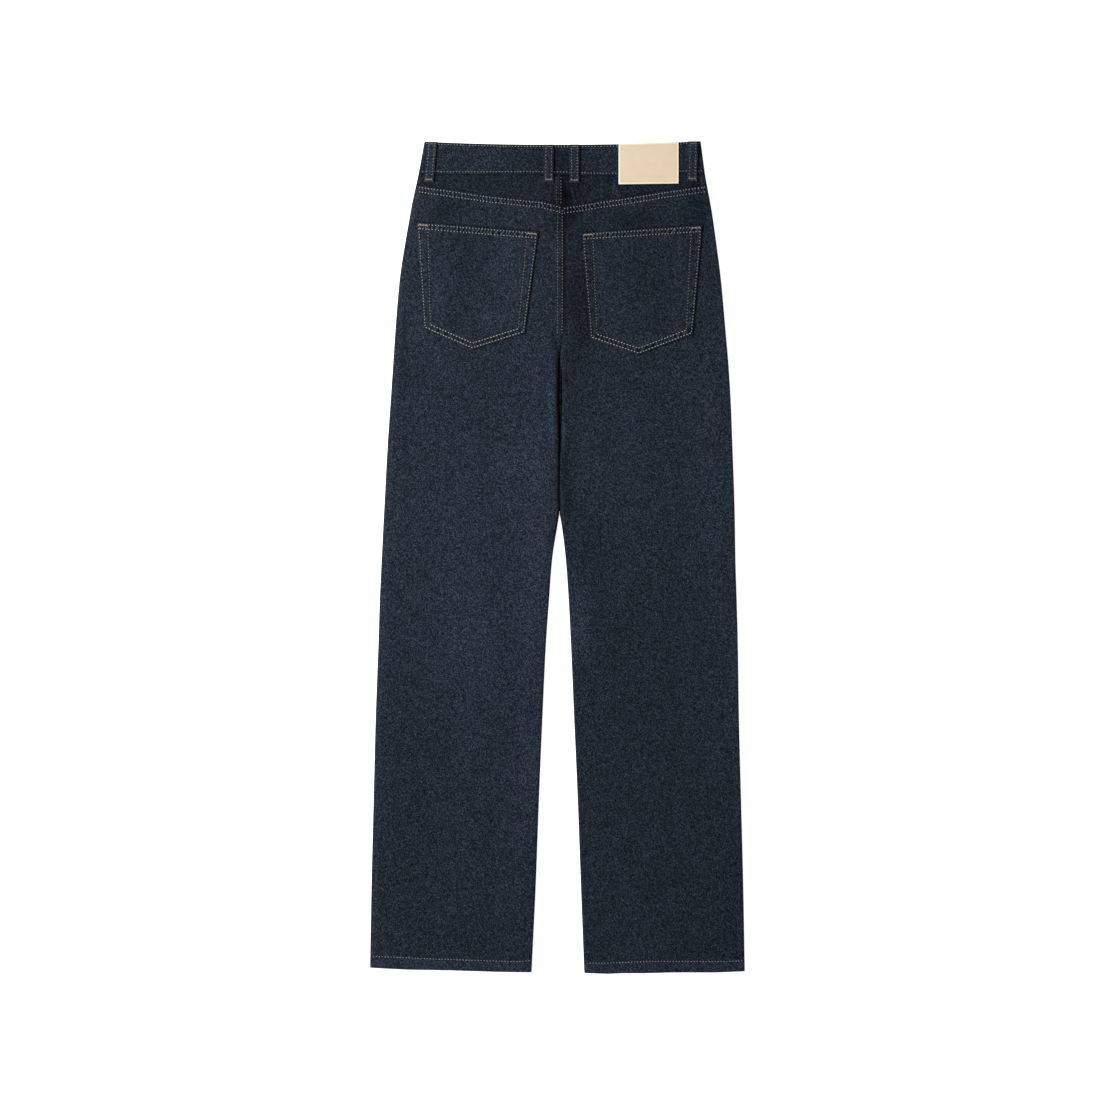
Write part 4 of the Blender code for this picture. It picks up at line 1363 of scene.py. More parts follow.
# %% Yokes
YOKE_SHADE = 0.75  # the yokes are painted darker: shade of their slope away from the light, and their cross grain
YOKE_TURN = 0.18  # how far their weave is turned against the panels'


def yoke(side):
    def place(across, share):
        y = np.full_like(share, WAIST_SEAM)
        for _ in range(SETTLE_ROUNDS):
            x, _height, _unrolled = section(side, "back", across, y)
            y = blend(on_line(YOKE_SEAM, x) + SEAM_GAP / 2, waist_seam(x) - SEAM_GAP / 2, share)
        x, height, unrolled = section(side, "back", across, y)
        return x, y, height, unrolled * 0.98 + YOKE_TURN * y, y - 0.1 * unrolled

    return lay_cloth(f"yoke_{side}_cloth", grid_columns(side, 84, 46), shares(26), place, DENIM,
                     thicken=partial(panel_wall, "back", side), wear=partial(panel_wear, side),
                     light_and_fade=lambda x, y: YOKE_SHADE * panel_light_and_shade(side, x, y))


yokes = {side: yoke(side) for side in SIDES}

# %% [markdown]
# ## The front
#
# The front lies on the table and shows only from below: two panels with curved pocket openings,
# the facing behind each, the fly's stitching and the buttoned waistband. A boolean could cut the
# openings, but it would leave ragged faces along the curve. So the panel's edge follows the
# opening, row by row, and the facing lies behind it.

# %% Front panels
SCOOP_BOTTOM, SCOOP_WIDTH, SCOOP_CURVE = 412, 78, 2.4
FACING_LAP, FACING_WALL, FACING_DEPTH = 16, 1.3, 2.1


def scoop_x(side, y):
    """The front pocket's opening: from the side seam it sweeps in and up to the waist."""
    outer = edge_x(side, "outer", y)
    rise = np.clip((y - SCOOP_BOTTOM) / (waist_seam(outer) - SCOOP_BOTTOM), 0, 1)
    sweep = (1 - (1 - rise) ** SCOOP_CURVE) ** (1 / SCOOP_CURVE)
    return outer + np.copysign(SCOOP_WIDTH * sweep, -outer)


def front_seam(x):
    return waist_seam(x, front=True) - SEAM_GAP / 2


def front_panel(side):
    def place(across, station):
        y = station.copy()
        for _ in range(SETTLE_ROUNDS):
            in_scoop = y > SCOOP_BOTTOM
            outer = np.where(in_scoop, scoop_x(side, y), edge_x(side, "outer", y))
            x, height, unrolled = section(side, "front", across, y, outer, np.where(in_scoop, 0.0, 1.0))
            y = row_y(station, x, front_seam, FRONT_TOP_STATION)
        return x, y, height, unrolled - LEG_LEAN[side] * y, y

    rows = evenly(HEM_STATION, -521, 2.1) + evenly(-521, SCOOP_BOTTOM - 1, 5.2) + [SCOOP_BOTTOM - 1]
    rows += [blend(SCOOP_BOTTOM + 1, FRONT_TOP_STATION, share ** 1.5) for share in shares(26)]
    # the front's crease gets the same painted shade, a little deeper
    return lay_cloth(f"front_panel_{side}_cloth", grid_columns(side, 36, 14)[::-1], rows, place, DENIM,
                     thicken=partial(panel_wall, "front", side), wear=partial(panel_wear, side),
                     light_and_fade=lambda x, y: crease_shade(x, y, 1.15))


front_panels = {side: front_panel(side) for side in SIDES}


# %% Pocket facings
def front_pocket_facing(side):
    """The denim behind the opening: level with the front at the side seam, under it further in."""
    def place(across, share):
        y = blend(SCOOP_BOTTOM + 2, front_seam(0), share)
        round_out, down = quarter(np.clip(across, 0, 1), 1.0)
        for _ in range(SETTLE_ROUNDS):
            outer = edge_x(side, "outer", y)
            inward = -np.sign(outer)
            seam = height_at("outer_edge", y) / 2
            inner = scoop_x(side, y) + inward * FACING_LAP
            x = np.where(across <= 1, outer + inward * seam * round_out,
                         blend(outer + inward * seam, inner, across - 1))
            y = blend(SCOOP_BOTTOM + 2, front_seam(x), share)
        to_opening = np.maximum(np.abs(scoop_x(side, y) - outer), 1)
        inside = FACING_DEPTH * rising(np.abs(x - outer) / to_opening, 0.35, 0.5)
        return x, y, blend(lift(x, y) + inside, seam - LEG_SEAM_GAP / 2, down), x, y

    columns = shares(6)[:-1] + [1 + share for share in shares(30)]
    columns = columns[::-1] if side == "left" else columns
    rows = [share ** 1.4 for share in shares(30)]
    return lay_cloth(f"front_pocket_facing_{side}_cloth", columns, rows, place, FACING_WALL)


facings = {side: front_pocket_facing(side) for side in SIDES}

# %% [markdown]
# ## The waistband
#
# One doubled strip goes round the waist, and its ends lap at the centre front, where the button
# goes through the outer one. Flat pieces would need seams at the sides, so the stations of one
# grid run all the way round: the front's left part, the left turn, the back, the right turn and
# the front's right part. The strip is cut along the warp, so its weave is turned by a quarter
# against the legs'.

# %% Height of the strip
BAND_WALL, BAND_BULGE = 2.3, 0.35
BAND_FOLDS = [
    (-152, 516, -14, 517, 4.5, -0.35),
    (-60, 505, -35, 530, 5.0, 0.2),
    (30, 524, 72, 508, 4.0, -0.25),
]


def band_height(x, y):
    """Height of the waistband's back, with its bulge between the rows and its small waves."""
    share = np.clip((y - waist_seam(x)) / (waist_edge(x) - waist_seam(x)), 0, 1)
    bulge = BAND_BULGE * np.sin(np.pi * share) ** 0.6
    waves = 0.14 * np.sin(uneven_phase(x, 9.5, seed=31)) * hump(share - 0.08, 0.22)
    waves += 0.10 * np.sin(uneven_phase(x, 8.0, seed=32)) * hump(share - 0.94, 0.16)
    return BAND_TOP + CROWN * hump(x, CROWN_REACH) + bulge + waves + folds(x, y, BAND_FOLDS)


def band_shadows(x, y):
    """How light the band is: painted shadows right of each loop and above the seam, and darker along its
    top edge.
    """
    level = light_and_fade(x, y) * shade_line(y - waist_seam(x) - 1, 0.2)
    level *= 1 - 0.45 * bell(waist_edge(x) - y, 1.4)
    for top_x, bottom_x in BACK_LOOPS.values():
        edge = blend(bottom_x, top_x, (y - WAIST_SEAM) / (WAIST_EDGE - WAIST_SEAM)) + LOOP_WIDTH / 2
        level *= 1 - 0.5 * bell(x - edge - 0.6, 1.3)
    return level


def band_wear(x, y):
    return worn("waist edge", waist_edge(x) - y) + worn("waist seam", y - waist_seam(x))


print("waistband's back:", round(float(band_height(np.array(0.0), np.array(518.0))), 2), "mm high")

# %% The strip
LAP_END, UNDERLAP_END = 24, -24
LAP_JOG_START, LAP_JOG = 42, 15  # where the inner end steps up over the outer one
BAND_STEPS = (60, 10, 150, 10, 60)  # columns in each of the strip's five parts
SEAM_ROWS, EDGE_ROWS = [0, 0.02, 0.05, 0.09], [0.91, 0.95, 0.98, 1]  # close rows at both edges


def waistband():
    turn = BAND_TOP / 2
    half_turn = math.pi * turn
    lap_shift = BAND_WALL + SEAM_GAP
    front = None

    def around(station, y):
        """x, height and length along the strip of its outer side, at stations round the waist."""
        part = np.clip(np.floor(station), 0, 4).astype(int)
        share = station - part
        left, right = edge_x("left", "outer", y), edge_x("right", "outer", y)
        angle = share * math.pi
        x = np.choose(part, [
            blend(LAP_END, left + turn, share), left + turn - turn * np.sin(angle),
            blend(left + turn, right - turn, share), right - turn + turn * np.sin(angle),
            blend(right - turn, UNDERLAP_END, share)])
        under = lift(x, y)
        height = np.choose(part, [
            under, turn - turn * np.cos(angle), band_height(x, y), turn + turn * np.cos(angle),
            under + lap_shift * rising(LAP_JOG_START - x, 0, LAP_JOG)])
        length = np.choose(part, [
            -x, -left + half_turn * share, -left + half_turn + (x - left),
            -left + half_turn + (right - left) + half_turn * share,
            -left + 2 * half_turn + (right - left) + (right - x)])
        return x, height, length

    def place(station, share):
        nonlocal front
        front = (station < 1) | (station >= 4)
        y = np.full_like(share, WAIST_SEAM)
        for _ in range(SETTLE_ROUNDS):
            x, height, length = around(station, y)
            y = blend(waist_seam(x, front) + SEAM_GAP / 2, waist_edge(x, front), share)
        return x, y, height, y, length

    def back_shadows(x, y):
        """The painted shadows of the back's loops and pulls fall on the back only."""
        return np.where(front, 1.0, band_shadows(x, y))

    stations = [part + share for part, count in enumerate(BAND_STEPS) for share in shares(count)[:-1]]
    rows = SEAM_ROWS + [blend(0.14, 0.86, share) for share in shares(14)] + EDGE_ROWS
    return lay_cloth("waistband_cloth", stations + [5.0], rows, place, BAND_WALL,
                     material=(denim_face, denim_face), wear=band_wear, light_and_fade=back_shadows, rim_bevel=0.5)


band = waistband()

# %% [markdown]
# ## Back pockets
#
# A back pocket is a five-sided patch laid on the panel: its top is hemmed and left open, and its
# other edges are folded under and sewn down with two rows. A plane could be cut to the five
# sides, but a grid stretched between the corners has rows that run along the puckered seams. The
# middle puffs up, so does the strip between the rows, and the folded edges stand proud of the
# leg by a layer of cloth. Their shadow is also painted on the leg as a dark line, darkest on the
# side away from the light, and the puckers' ridges and troughs are painted lighter and darker.

# %% Form of a pocket
POCKET_PUFF = 0.8
POCKET_HEM, POCKET_HEM_RISE = 7.8, 0.5
POCKET_ROW = 1.85  # the outer row, in from the folded edge
BOTTOM_SPACING = 5.65  # between the two rows along the bottom
BOTTOM_SINK = 0.28  # how much lower the bottom's strip lies
BOTTOM_TOP, BOTTOM_FADE = 296, 8  # up to here the strip is the bottom's
BOTTOM_PULL = {"left": 0.5, "right": 0.65}  # how hard it draws up
POCKET_FOLDS = {
    "left": [(-150, 400, -140, 300, 9.0, 0.35), (-118, 410, -112, 310, 13.0, -0.5),
             (-90, 320, -60, 372, 8.0, 0.35), (-70, 410, -66, 330, 8.0, 0.3)],
    "right": [(60, 415, 66, 330, 10.0, 0.4), (92, 410, 84, 320, 9.0, -0.4),
              (118, 418, 128, 300, 8.0, 0.35), (150, 405, 146, 320, 9.0, -0.3),
              (76, 300, 78, 282, 3.0, 0.3), (128, 298, 130, 280, 3.0, 0.3)],
}


def pocket_puckers(side, x, y):
    """Waves between the rows of the hem, and of the sewn edges: strongest along the bottom."""
    top, sewn = pocket_insets(side, x, y)
    hem_waves = puckers(x - 0.5 * y, 5.3, seed=42) * strip_between(top, POCKET_ROW, POCKET_HEM)
    at_bottom = fading(y, BOTTOM_TOP, BOTTOM_FADE)
    drawn_up = BOTTOM_PULL[side] * puckers(x, 7.2, seed=41) - BOTTOM_SINK
    waves = blend(0.3 * puckers(y, 8.5, seed=44), drawn_up, at_bottom)
    return hem_waves, waves * strip_between(sewn, POCKET_ROW, POCKET_ROW + BOTTOM_SPACING)


def pocket_light_and_shade(side, x, y):
    """How light a pocket is: painted light on the ridges and painted shade in the troughs between its rows.
    """
    hem_waves, edge_waves = pocket_puckers(side, x, y)
    return light_and_fade(x, y) * pucker_light_and_shade(PUCKER_SHADE * (1.25 * hem_waves + 0.85 * edge_waves))


def pocket_height(side, x, y, puff):
    """Height of a pocket's outer side, over the panel that it lies on."""
    top, sewn = pocket_insets(side, x, y)
    strip = 0.22 * hump(sewn - 5.0, 3.6) + 0.25 * hump(top - 4.4, 3.4)
    rows = ROW_SINK * (bell(sewn - POCKET_ROW, 0.8) + bell(top - POCKET_ROW, 0.8)
                       + bell(top - POCKET_HEM, 0.8))
    hem_waves, edge_waves = pocket_puckers(side, x, y)
    hemmed = POCKET_HEM_RISE * fading(top, POCKET_HEM, 1.2)
    crumple = rising(sewn, 0, 18) * (0.22 * swell(x, y, 30, seed=43) + folds(x, y, POCKET_FOLDS[side]))
    return (back_surface(side, x, y) + LYING_GAP + DENIM + puff + hemmed + strip - rows
            + 0.3 * hem_waves + 0.3 * edge_waves + crumple)


print("a pocket's middle:", round(float(pocket_height("left", np.array(-100.0), np.array(350.0), 0.8)), 2))


# %% Pocket cloth
def back_pocket(side):
    corners = {name: np.array(spot) for name, spot in POCKET_CORNERS[side].items()}

    def place(share, rise):
        share_in_half = np.where(share < 0.5, 2 * share, 2 * share - 1)[:, None]
        low = np.where((share < 0.5)[:, None],
                       blend(corners["low_left"], corners["tip"], share_in_half),
                       blend(corners["tip"], corners["low_right"], share_in_half))
        top = blend(corners["top_left"], corners["top_right"], share[:, None])
        x, y = (low + (top - low) * rise[:, None]).T
        puff = POCKET_PUFF * np.sin(np.pi * share) ** 0.8 * np.sin(np.pi * np.clip(rise, 0, 1)) ** 0.8
        return x, y, pocket_height(side, x, y, puff), x + 0.03 * y, y

    def wear(x, y):
        top, sewn = pocket_insets(side, x, y)
        return worn("pocket top", top) + worn("pocket edge", sewn)

    return lay_cloth(f"back_pocket_{side}_cloth", shares(104), shares(86), place, DENIM, wear=wear,
                     light_and_fade=partial(pocket_light_and_shade, side), rim_bevel=0.45)


pockets = {side: back_pocket(side) for side in SIDES}

# %% [markdown]
# ## Belt loops
#
# A loop is a strip folded to three layers, with two rows of stitches along it and its ends turned
# under and tacked down. A bent box would do from far off, but its edges are rounded and its rows
# sink in, so it is laid like the other cloth. On the back it starts at the waist's edge, bridges
# the waistband and ends below the waist seam. The front loops lie under the waist, and stay flat.

# %% Form of a loop
LOOP_WALL, LOOP_BRIDGE, LOOP_DROP = 1.6, 0.7, 10.5
STEP_START, STEP_LENGTH = 1, 5  # where cloth steps down to the yoke
FRONT_LOOPS = {"belt_loop_front_left": -92, "belt_loop_front_right": 96}


def seat_surface(x, y):
    """Height that cloth on the waistband lies at, and where it steps down to the yoke."""
    left = x < edge_x("left", "inner", y)
    yoke_height = np.where(left, back_surface("left", x, y), back_surface("right", x, y))
    below_seam = waist_seam(x) - y
    return blend(band_height(x, y), yoke_height, rising(below_seam, STEP_START, STEP_LENGTH))


def loop_profile(share, rise):
    """Extra height across a loop: rounded edges, two sewn rows and a raised middle."""
    off = np.abs(share - 0.5) * LOOP_WIDTH
    rounded = -0.35 * rising(off, 5.4, 1.1)
    rows = -0.16 * bell(off - 3.9, 0.7)
    waves = 0.10 * np.sin(rise * 52 + share * 7)
    turned_under = 0.45 * (hump(rise - 0.03, 0.10) + hump(rise - 0.98, 0.09))
    return rounded + rows + waves * (off < 6) + turned_under


print("a loop's edge:", round(-float(loop_profile(0.0, 0.5)), 2), "mm under its face")

# %% Back loops
LOOP_COLUMNS = [0, 0.025, 0.06, 0.11, 0.16, 0.2, 0.24, 0.3, 0.4, 0.5,
                0.6, 0.7, 0.76, 0.8, 0.84, 0.89, 0.94, 0.975, 1]  # closest at edges and rows
LOOP_TILT = 0.6  # how much of the slope under it a stiff loop follows


def back_loop(name, top_x, bottom_x):
    def place(share, rise):
        middle = blend(bottom_x, top_x, rise)
        x = middle + LOOP_WIDTH * (share - 0.5)
        y = blend(waist_seam(middle) - LOOP_DROP, waist_edge(middle), rise)
        bridge = LOOP_BRIDGE * np.sin(np.pi * np.clip(rise, 0, 1)) ** 0.5
        base = seat_surface(middle, y)
        tilt = seat_surface(x, y) - base
        height = base + LOOP_TILT * tilt + LYING_GAP + LOOP_WALL + bridge + loop_profile(share, rise)
        return x, y, height, x, y

    return lay_cloth(f"{name}_cloth", LOOP_COLUMNS, shares(48), place, LOOP_WALL,
                     material=(denim_face, denim_face), wear=partial(loop_wear_and_highlight, top_x, bottom_x), light_and_fade=light_and_fade,
                     rim_bevel=0.4)


def loop_wear_and_highlight(top_x, bottom_x, x, y):
    """Loops rub all over, most along their rows; a painted highlight lies on the fold at their lower end.
    """
    low = waist_seam(bottom_x) - LOOP_DROP
    middle = blend(bottom_x, top_x, np.clip((y - low) / (waist_edge(top_x) - low), 0, 1))
    along_rows = bell(np.abs(x - middle) - 3.6, 1.6)
    return 0.13 + 0.08 * along_rows + 0.35 * bell(y - low - 1, 1.2)


loops = {name: back_loop(name, *spots) for name, spots in BACK_LOOPS.items()}


# %% Front loops
FRONT_LOOP_WALL = LIFT - SEAM_GAP - 0.2  # it fills the height under the waist, but for a gap


def front_loop(name, middle):
    def place(share, rise):
        x = middle - LOOP_WIDTH * (share - 0.5)
        y = blend(waist_seam(middle, front=True) - LOOP_DROP, waist_edge(middle, front=True), rise)
        return x, y, -loop_profile(share, rise).clip(-1, 0), x, y

    return lay_cloth(f"{name}_cloth", shares(12), shares(20), place, FRONT_LOOP_WALL,
                     material=(denim_face, denim_face), wear=lambda x, y: np.full_like(x, 0.05))


loops.update({name: front_loop(name, middle) for name, middle in FRONT_LOOPS.items()})

# %% [markdown]
# ## Leather patch
#
# A thick piece of pale leather is sewn over the waistband, right of the centre, with its top at
# the waist's edge. A plain slab would stand off the yoke, so it is laid like cloth and steps
# gently down from the band. Its corners are barely rounded, its raw edge is paler than its face,
# and it is left bare.

# %% Patch
LEATHER = 1.3
RAW_START, RAW_WIDTH = 1.0, 1.6  # how far in the raw edge's paler tone goes
PATCH_STATIONS = ([0, 0.008, 0.016, 0.03] + [blend(0.05, 0.95, share) for share in shares(30)]
                  + [0.97, 0.984, 0.992, 1])


def label_patch():
    def place(share, rise):
        x = blend(PATCH_LEFT, PATCH_RIGHT, share)
        low, top = patch_edges(x)
        y = blend(low, top, rise)
        smooth_seat = BAND_TOP + CROWN * hump(x, CROWN_REACH) + 0.45
        yoke_height = back_surface("right", x, y)
        base = blend(smooth_seat, yoke_height, rising(waist_seam(x) - y, STEP_START, STEP_LENGTH))
        return x, y, base + LYING_GAP + LEATHER + 0.12 * swell(x, y, 40, seed=51), x, y

    def wear(x, y):
        low, top = patch_edges(x)
        inside = np.minimum.reduce([x - PATCH_LEFT, PATCH_RIGHT - x, y - low, top - y])
        return fading(inside, RAW_START, RAW_WIDTH)

    return lay_cloth("label_patch_leather", PATCH_STATIONS, PATCH_STATIONS, place, LEATHER,
                     material=(leather, leather), wear=wear, rim_bevel=0.35)


patch = label_patch()

# %% [markdown]
# ## Button
#
# The waist button is a flat metal head with a rounded rim, under the waistband's outer end, on a
# shank that goes up through the eyelet. A half outline could be spun round, but its faces would
# all meet in one point. So a disc is extruded and scaled ring by ring in edit mode.

# %% Turn the button
BUTTON_X, BUTTON_RADIUS, BUTTON_HEAD = 2, 8.5, 1.6
BUTTON_RINGS = [
    # scale of the next ring, how far it moves up
    (0.97, -0.2), (1, -0.4), (1, -0.6), (0.93, -0.35), (0.86, 0.25), (0.8, 0.12), (0.4, -0.1),
]
SHANK_RADIUS = 2.5
METAL_ANGLE = math.radians(35)


def turn_button():
    middle_y = (waist_seam(BUTTON_X, front=True) + waist_edge(BUTTON_X, front=True)) / 2
    bpy.ops.object.select_all(action="DESELECT")
    bpy.ops.mesh.primitive_circle_add(
        vertices=64, radius=BUTTON_RADIUS * MM, fill_type="NGON",
        location=(BUTTON_X * MM, middle_y * MM, BUTTON_HEAD * MM))
    button = bpy.context.active_object
    button.name = button.data.name = "waist_button_metal"
    bpy.ops.object.transform_apply(location=True, rotation=False, scale=False)
    centre = (BUTTON_X * MM, middle_y * MM, 0)
    bpy.ops.object.mode_set(mode="EDIT")
    bpy.ops.mesh.select_all(action="SELECT")
    for scale, move in BUTTON_RINGS:
        bpy.ops.mesh.extrude_region_move(TRANSFORM_OT_translate={"value": (0, 0, move * MM)})
        bpy.ops.transform.resize(value=(scale, scale, 1), center_override=centre)
    bpy.ops.mesh.select_all(action="SELECT")
    bpy.ops.mesh.normals_make_consistent(inside=False)
    bpy.ops.object.mode_set(mode="OBJECT")
    bpy.ops.mesh.primitive_cylinder_add(
        vertices=32, radius=SHANK_RADIUS * MM, depth=(LIFT + BAND_WALL - BUTTON_HEAD) * MM,
        location=(BUTTON_X * MM, middle_y * MM, (LIFT + BAND_WALL + BUTTON_HEAD) / 2 * MM))
    button.select_set(True)
    bpy.context.view_layer.objects.active = button
    bpy.ops.object.join()
    bpy.ops.object.transform_apply(location=True, rotation=True, scale=True)
    button.data.materials.append(copper)
    bpy.ops.object.shade_smooth_by_angle(angle=METAL_ANGLE)
    print("button:", len(button.data.polygons), "faces, middle y", round(middle_y, 1))
    return button


button = turn_button()

# %% [markdown]
# ## Stitches
#
# A dashed line in the material would be quick, but it would lie flat and catch no light. So every
# row is real thread: one stitch is a small capsule, arched in its middle and diving into the
# cloth at both ends. It is modelled once, then set along each row at the row's own pitch, a
# little unevenly, on the surface that a ray finds and turned with it. A bartack is the same
# stitch in a tight zigzag of tan thread.

# %% One stitch
STITCH_LENGTH, STITCH_THICK, STITCH_PITCH = 1.65, 1.15, 4.0
STITCH_FLAT = 0.8  # a stitch is pulled this much flatter than it is wide
STITCH_ARCH = 1.3  # how far its ends dive, as a share of its thickness


def model_stitch():
    bpy.ops.object.select_all(action="DESELECT")
    bpy.ops.mesh.primitive_uv_sphere_add(segments=6, ring_count=6, radius=0.5, rotation=(0, QUARTER, 0))
    stitch = bpy.context.active_object
    stitch.scale = (STITCH_THICK * STITCH_FLAT, STITCH_THICK, STITCH_LENGTH)
    bpy.ops.object.transform_apply(location=True, rotation=True, scale=True)
    points = spots_of(stitch.data)
    points[:, 2] -= STITCH_ARCH * (points[:, 0] / STITCH_LENGTH) ** 2 * STITCH_THICK
    faces = [tuple(face.vertices) for face in stitch.data.polygons]
    bpy.data.objects.remove(stitch)
    return points, faces


stitch_points, stitch_faces = model_stitch()
print("a stitch:", len(stitch_faces), "faces, size", np.ptp(stitch_points, axis=0).round(2))


# %% Set stitches on cloth
RAY_TOP, RAY_BOTTOM = 60, -20  # where rays start that look for cloth
WOBBLE, SWAY, LENGTH_CHANGE = 0.15, 0.06, 0.1  # a machine's unevenness: place, turn, length
TACK_LEAN = 0.28  # how far a bartack's stitches lean, to and fro


class Sewing:
    """Collects stitches for one piece of sewing and joins them into one mesh."""

    def __init__(self, name, cloths, from_above=True, material=None):
        self.name, self.from_above, self.material = name, from_above, material or thread
        scene_now = bpy.context.evaluated_depsgraph_get()
        self.trees = [BVHTree.FromObject(cloth, scene_now) for cloth in cloths]
        self.frames, self.tan = [], []
        self.dice = random.Random(name)

    def surface(self, x, y):
        """Where cloth is met at x, y from above or below, and which way it faces."""
        start, way = (RAY_TOP, -1) if self.from_above else (RAY_BOTTOM, 1)
        hits = [tree.ray_cast(Vector((x, y, start)) * MM, Vector((0, 0, way))) for tree in self.trees]
        hits = [hit for hit in hits if hit[0] is not None]
        if not hits:
            return None
        spot, normal, _index, _distance = min(hits, key=lambda hit: hit[3])
        return spot / MM, normal

    def stitch(self, x, y, turn, length=1.0, thick=1.0):
        """One stitch on the cloth at x, y; none where there is no cloth."""
        found = self.surface(x, y)
        if not found:
            return
        spot, up = found
        forward = Vector((math.cos(turn), math.sin(turn), 0))
        forward = (forward - up * forward.dot(up)).normalized()
        axes = Matrix((forward, up.cross(forward), up)).transposed()
        self.frames.append((np.array(axes), np.array(spot), (length, thick, thick)))

    def row(self, points, pitch=STITCH_PITCH, thick=1.0, long=1.0, tan=False):
        """A row of stitches along straight runs between points, in tan thread if asked."""
        first = len(self.frames)
        points = np.array(points, dtype=float)
        lengths = np.hypot(*np.diff(points, axis=0).T)
        total = lengths.sum()
        count = max(1, round(total / pitch))
        at = np.concatenate(([0], lengths.cumsum()))
        for step in range(count):
            middle = (step + 0.5) * total / count + self.dice.uniform(-WOBBLE, WOBBLE)
            ends = middle - 0.4 * pitch, middle + 0.4 * pitch
            before, after = np.array([np.interp(ends, at, column) for column in points.T]).T
            x, y = (before + after) / 2
            turn = math.atan2(*(after - before)[::-1]) + self.dice.uniform(-SWAY, SWAY)
            length = long * pitch / STITCH_PITCH * self.dice.uniform(1 - LENGTH_CHANGE, 1 + LENGTH_CHANGE)
            self.stitch(x, y, turn, length, thick)
        if tan:
            self.tan += range(first, len(self.frames))

    def bartack(self, start, end, width=1.7, pitch=0.62, thick=0.7):
        """A bar of tight zigzag from start to end."""
        first = len(self.frames)
        start, end = np.array(start, dtype=float), np.array(end, dtype=float)
        count = round(np.hypot(*(end - start)) / pitch)
        across = math.atan2(*(end - start)[::-1]) + QUARTER
        for step in range(count):
            x, y = start + (end - start) * (step + 0.5) / count
            lean = TACK_LEAN if step % 2 else -TACK_LEAN
            self.stitch(x, y, across + lean, width / STITCH_LENGTH, thick)
        self.tan += range(first, len(self.frames))

    def finish(self):
        """Join the stitches into one mesh."""
        axes, spots, sizes = (np.array(part) for part in zip(*self.frames))
        points = stitch_points[None] * sizes[:, None] @ axes.transpose(0, 2, 1) + spots[:, None]
        count = len(stitch_points)
        faces = [tuple(index + copy * count for index in face)
                 for copy in range(len(self.frames)) for face in stitch_faces]
        mesh = bpy.data.meshes.new(self.name)
        mesh.from_pydata((points.reshape(-1, 3) * MM).tolist(), [], faces)
        mesh.materials.append(self.material)
        mesh.materials.append(tack_thread)
        finishes = np.zeros(len(self.frames), dtype=np.int32)
        finishes[self.tan] = 1
        mesh.polygons.foreach_set("material_index", finishes.repeat(len(stitch_faces)))
        mesh.shade_smooth()
        sewn = bpy.data.objects.new(self.name, mesh)
        bpy.context.scene.collection.objects.link(sewn)
        print(f"{self.name}: {len(self.frames)} stitches")
        return sewn


sewing = {}


def sample(start, end, line, step=4.0):
    """Points along a line y = line(x), from one x to another."""
    count = max(2, round(abs(end - start) / step))
    return [(x, float(line(x))) for x in np.linspace(start, end, count)]


# %% [markdown]
# ### Seams of the back
#
# The yoke seam and the centre seam are felled with two rows each, and the hem has one row that
# wanders a little, because it is sewn last and by eye.

# %% Sew the back panels
HEM_ROWS = {
    "left": [(-241.5, -517.7), (-167, -521.1), (-53, -524.9), (-35, -523.5)],
    "right": [(36.5, -526.7), (70, -526.5), (122, -524.3), (200, -524.7), (235, -524.3), (241.5, -522.7)],
}
YOKE_ROW_ENDS = {"left": (-181.5, 5.0), "right": (7.5, 193.0)}
CENTRE_ROWS = [
    # in from the fold, in tan thread, thickness on the yoke and on the leg
    (1.25, False, 0.5, 0.5), (7.4, True, 0.34, 0.48),
]
CENTRE_ON_YOKE, CENTRE_ON_LEG = (496, 459), (453, 286)  # from y, to y
CENTRE_PITCH = HEM_PITCH = 3.9


def sew_back(side):
    sewn = Sewing(f"stitching_back_{side}", [back_panels[side], yokes[side]])
    for distance in (ROW_NEAR, ROW_FAR):
        sewn.row(sample(*YOKE_ROW_ENDS[side], lambda x: on_line(YOKE_SEAM, x) - distance))
    for distance, tan, yoke_thick, leg_thick in CENTRE_ROWS if side == "left" else ():
        for (top, bottom), thick in ((CENTRE_ON_YOKE, yoke_thick), (CENTRE_ON_LEG, leg_thick)):
            heights = np.arange(top, bottom, -6.0)
            sewn.row([(float(edge_x("left", "inner", y)) - distance, y) for y in heights],
                     pitch=CENTRE_PITCH, thick=thick, tan=tan)
    sewn.row(HEM_ROWS[side], pitch=HEM_PITCH, thick=0.85)
    return sewn.finish()


for side in SIDES:
    sewing[f"back_{side}"] = sew_back(side)


# %% Sew the pockets
INNER_TOP, INNER_LOW = 14.0, 8.6  # how far in the inner side rows lie, above and below
TACK_DROP = np.array((0, -0.9))


def corner_rows(side, side_top, side_low, bottom):
    """The corners of a row round a pocket: down one side, along the bottom and up the other."""
    def spot(name):
        return np.array(POCKET_CORNERS[side][name])

    def shifted(start, end, distance_start, distance_end):
        """The line between two corners, moved inward by its own distance at each end."""
        run = spot(end) - spot(start)
        normal = np.array((-run[1], run[0])) / np.hypot(*run)
        return spot(start) + normal * distance_start, spot(end) + normal * distance_end

    def crossing(first, second):
        (p, q), (r, s) = first, second
        matrix = np.array((q - p, r - s)).T
        return p + (q - p) * np.linalg.solve(matrix, r - p)[0]

    left = shifted("top_left", "low_left", side_top, side_low)
    low_left = shifted("low_left", "tip", bottom, bottom)
    low_right = shifted("tip", "low_right", bottom, bottom)
    right = shifted("low_right", "top_right", side_low, side_top)
    top = shifted("top_right", "top_left", POCKET_ROW, POCKET_ROW)
    return [crossing(top, left), crossing(left, low_left), crossing(low_left, low_right),
            crossing(low_right, right), crossing(right, top)]


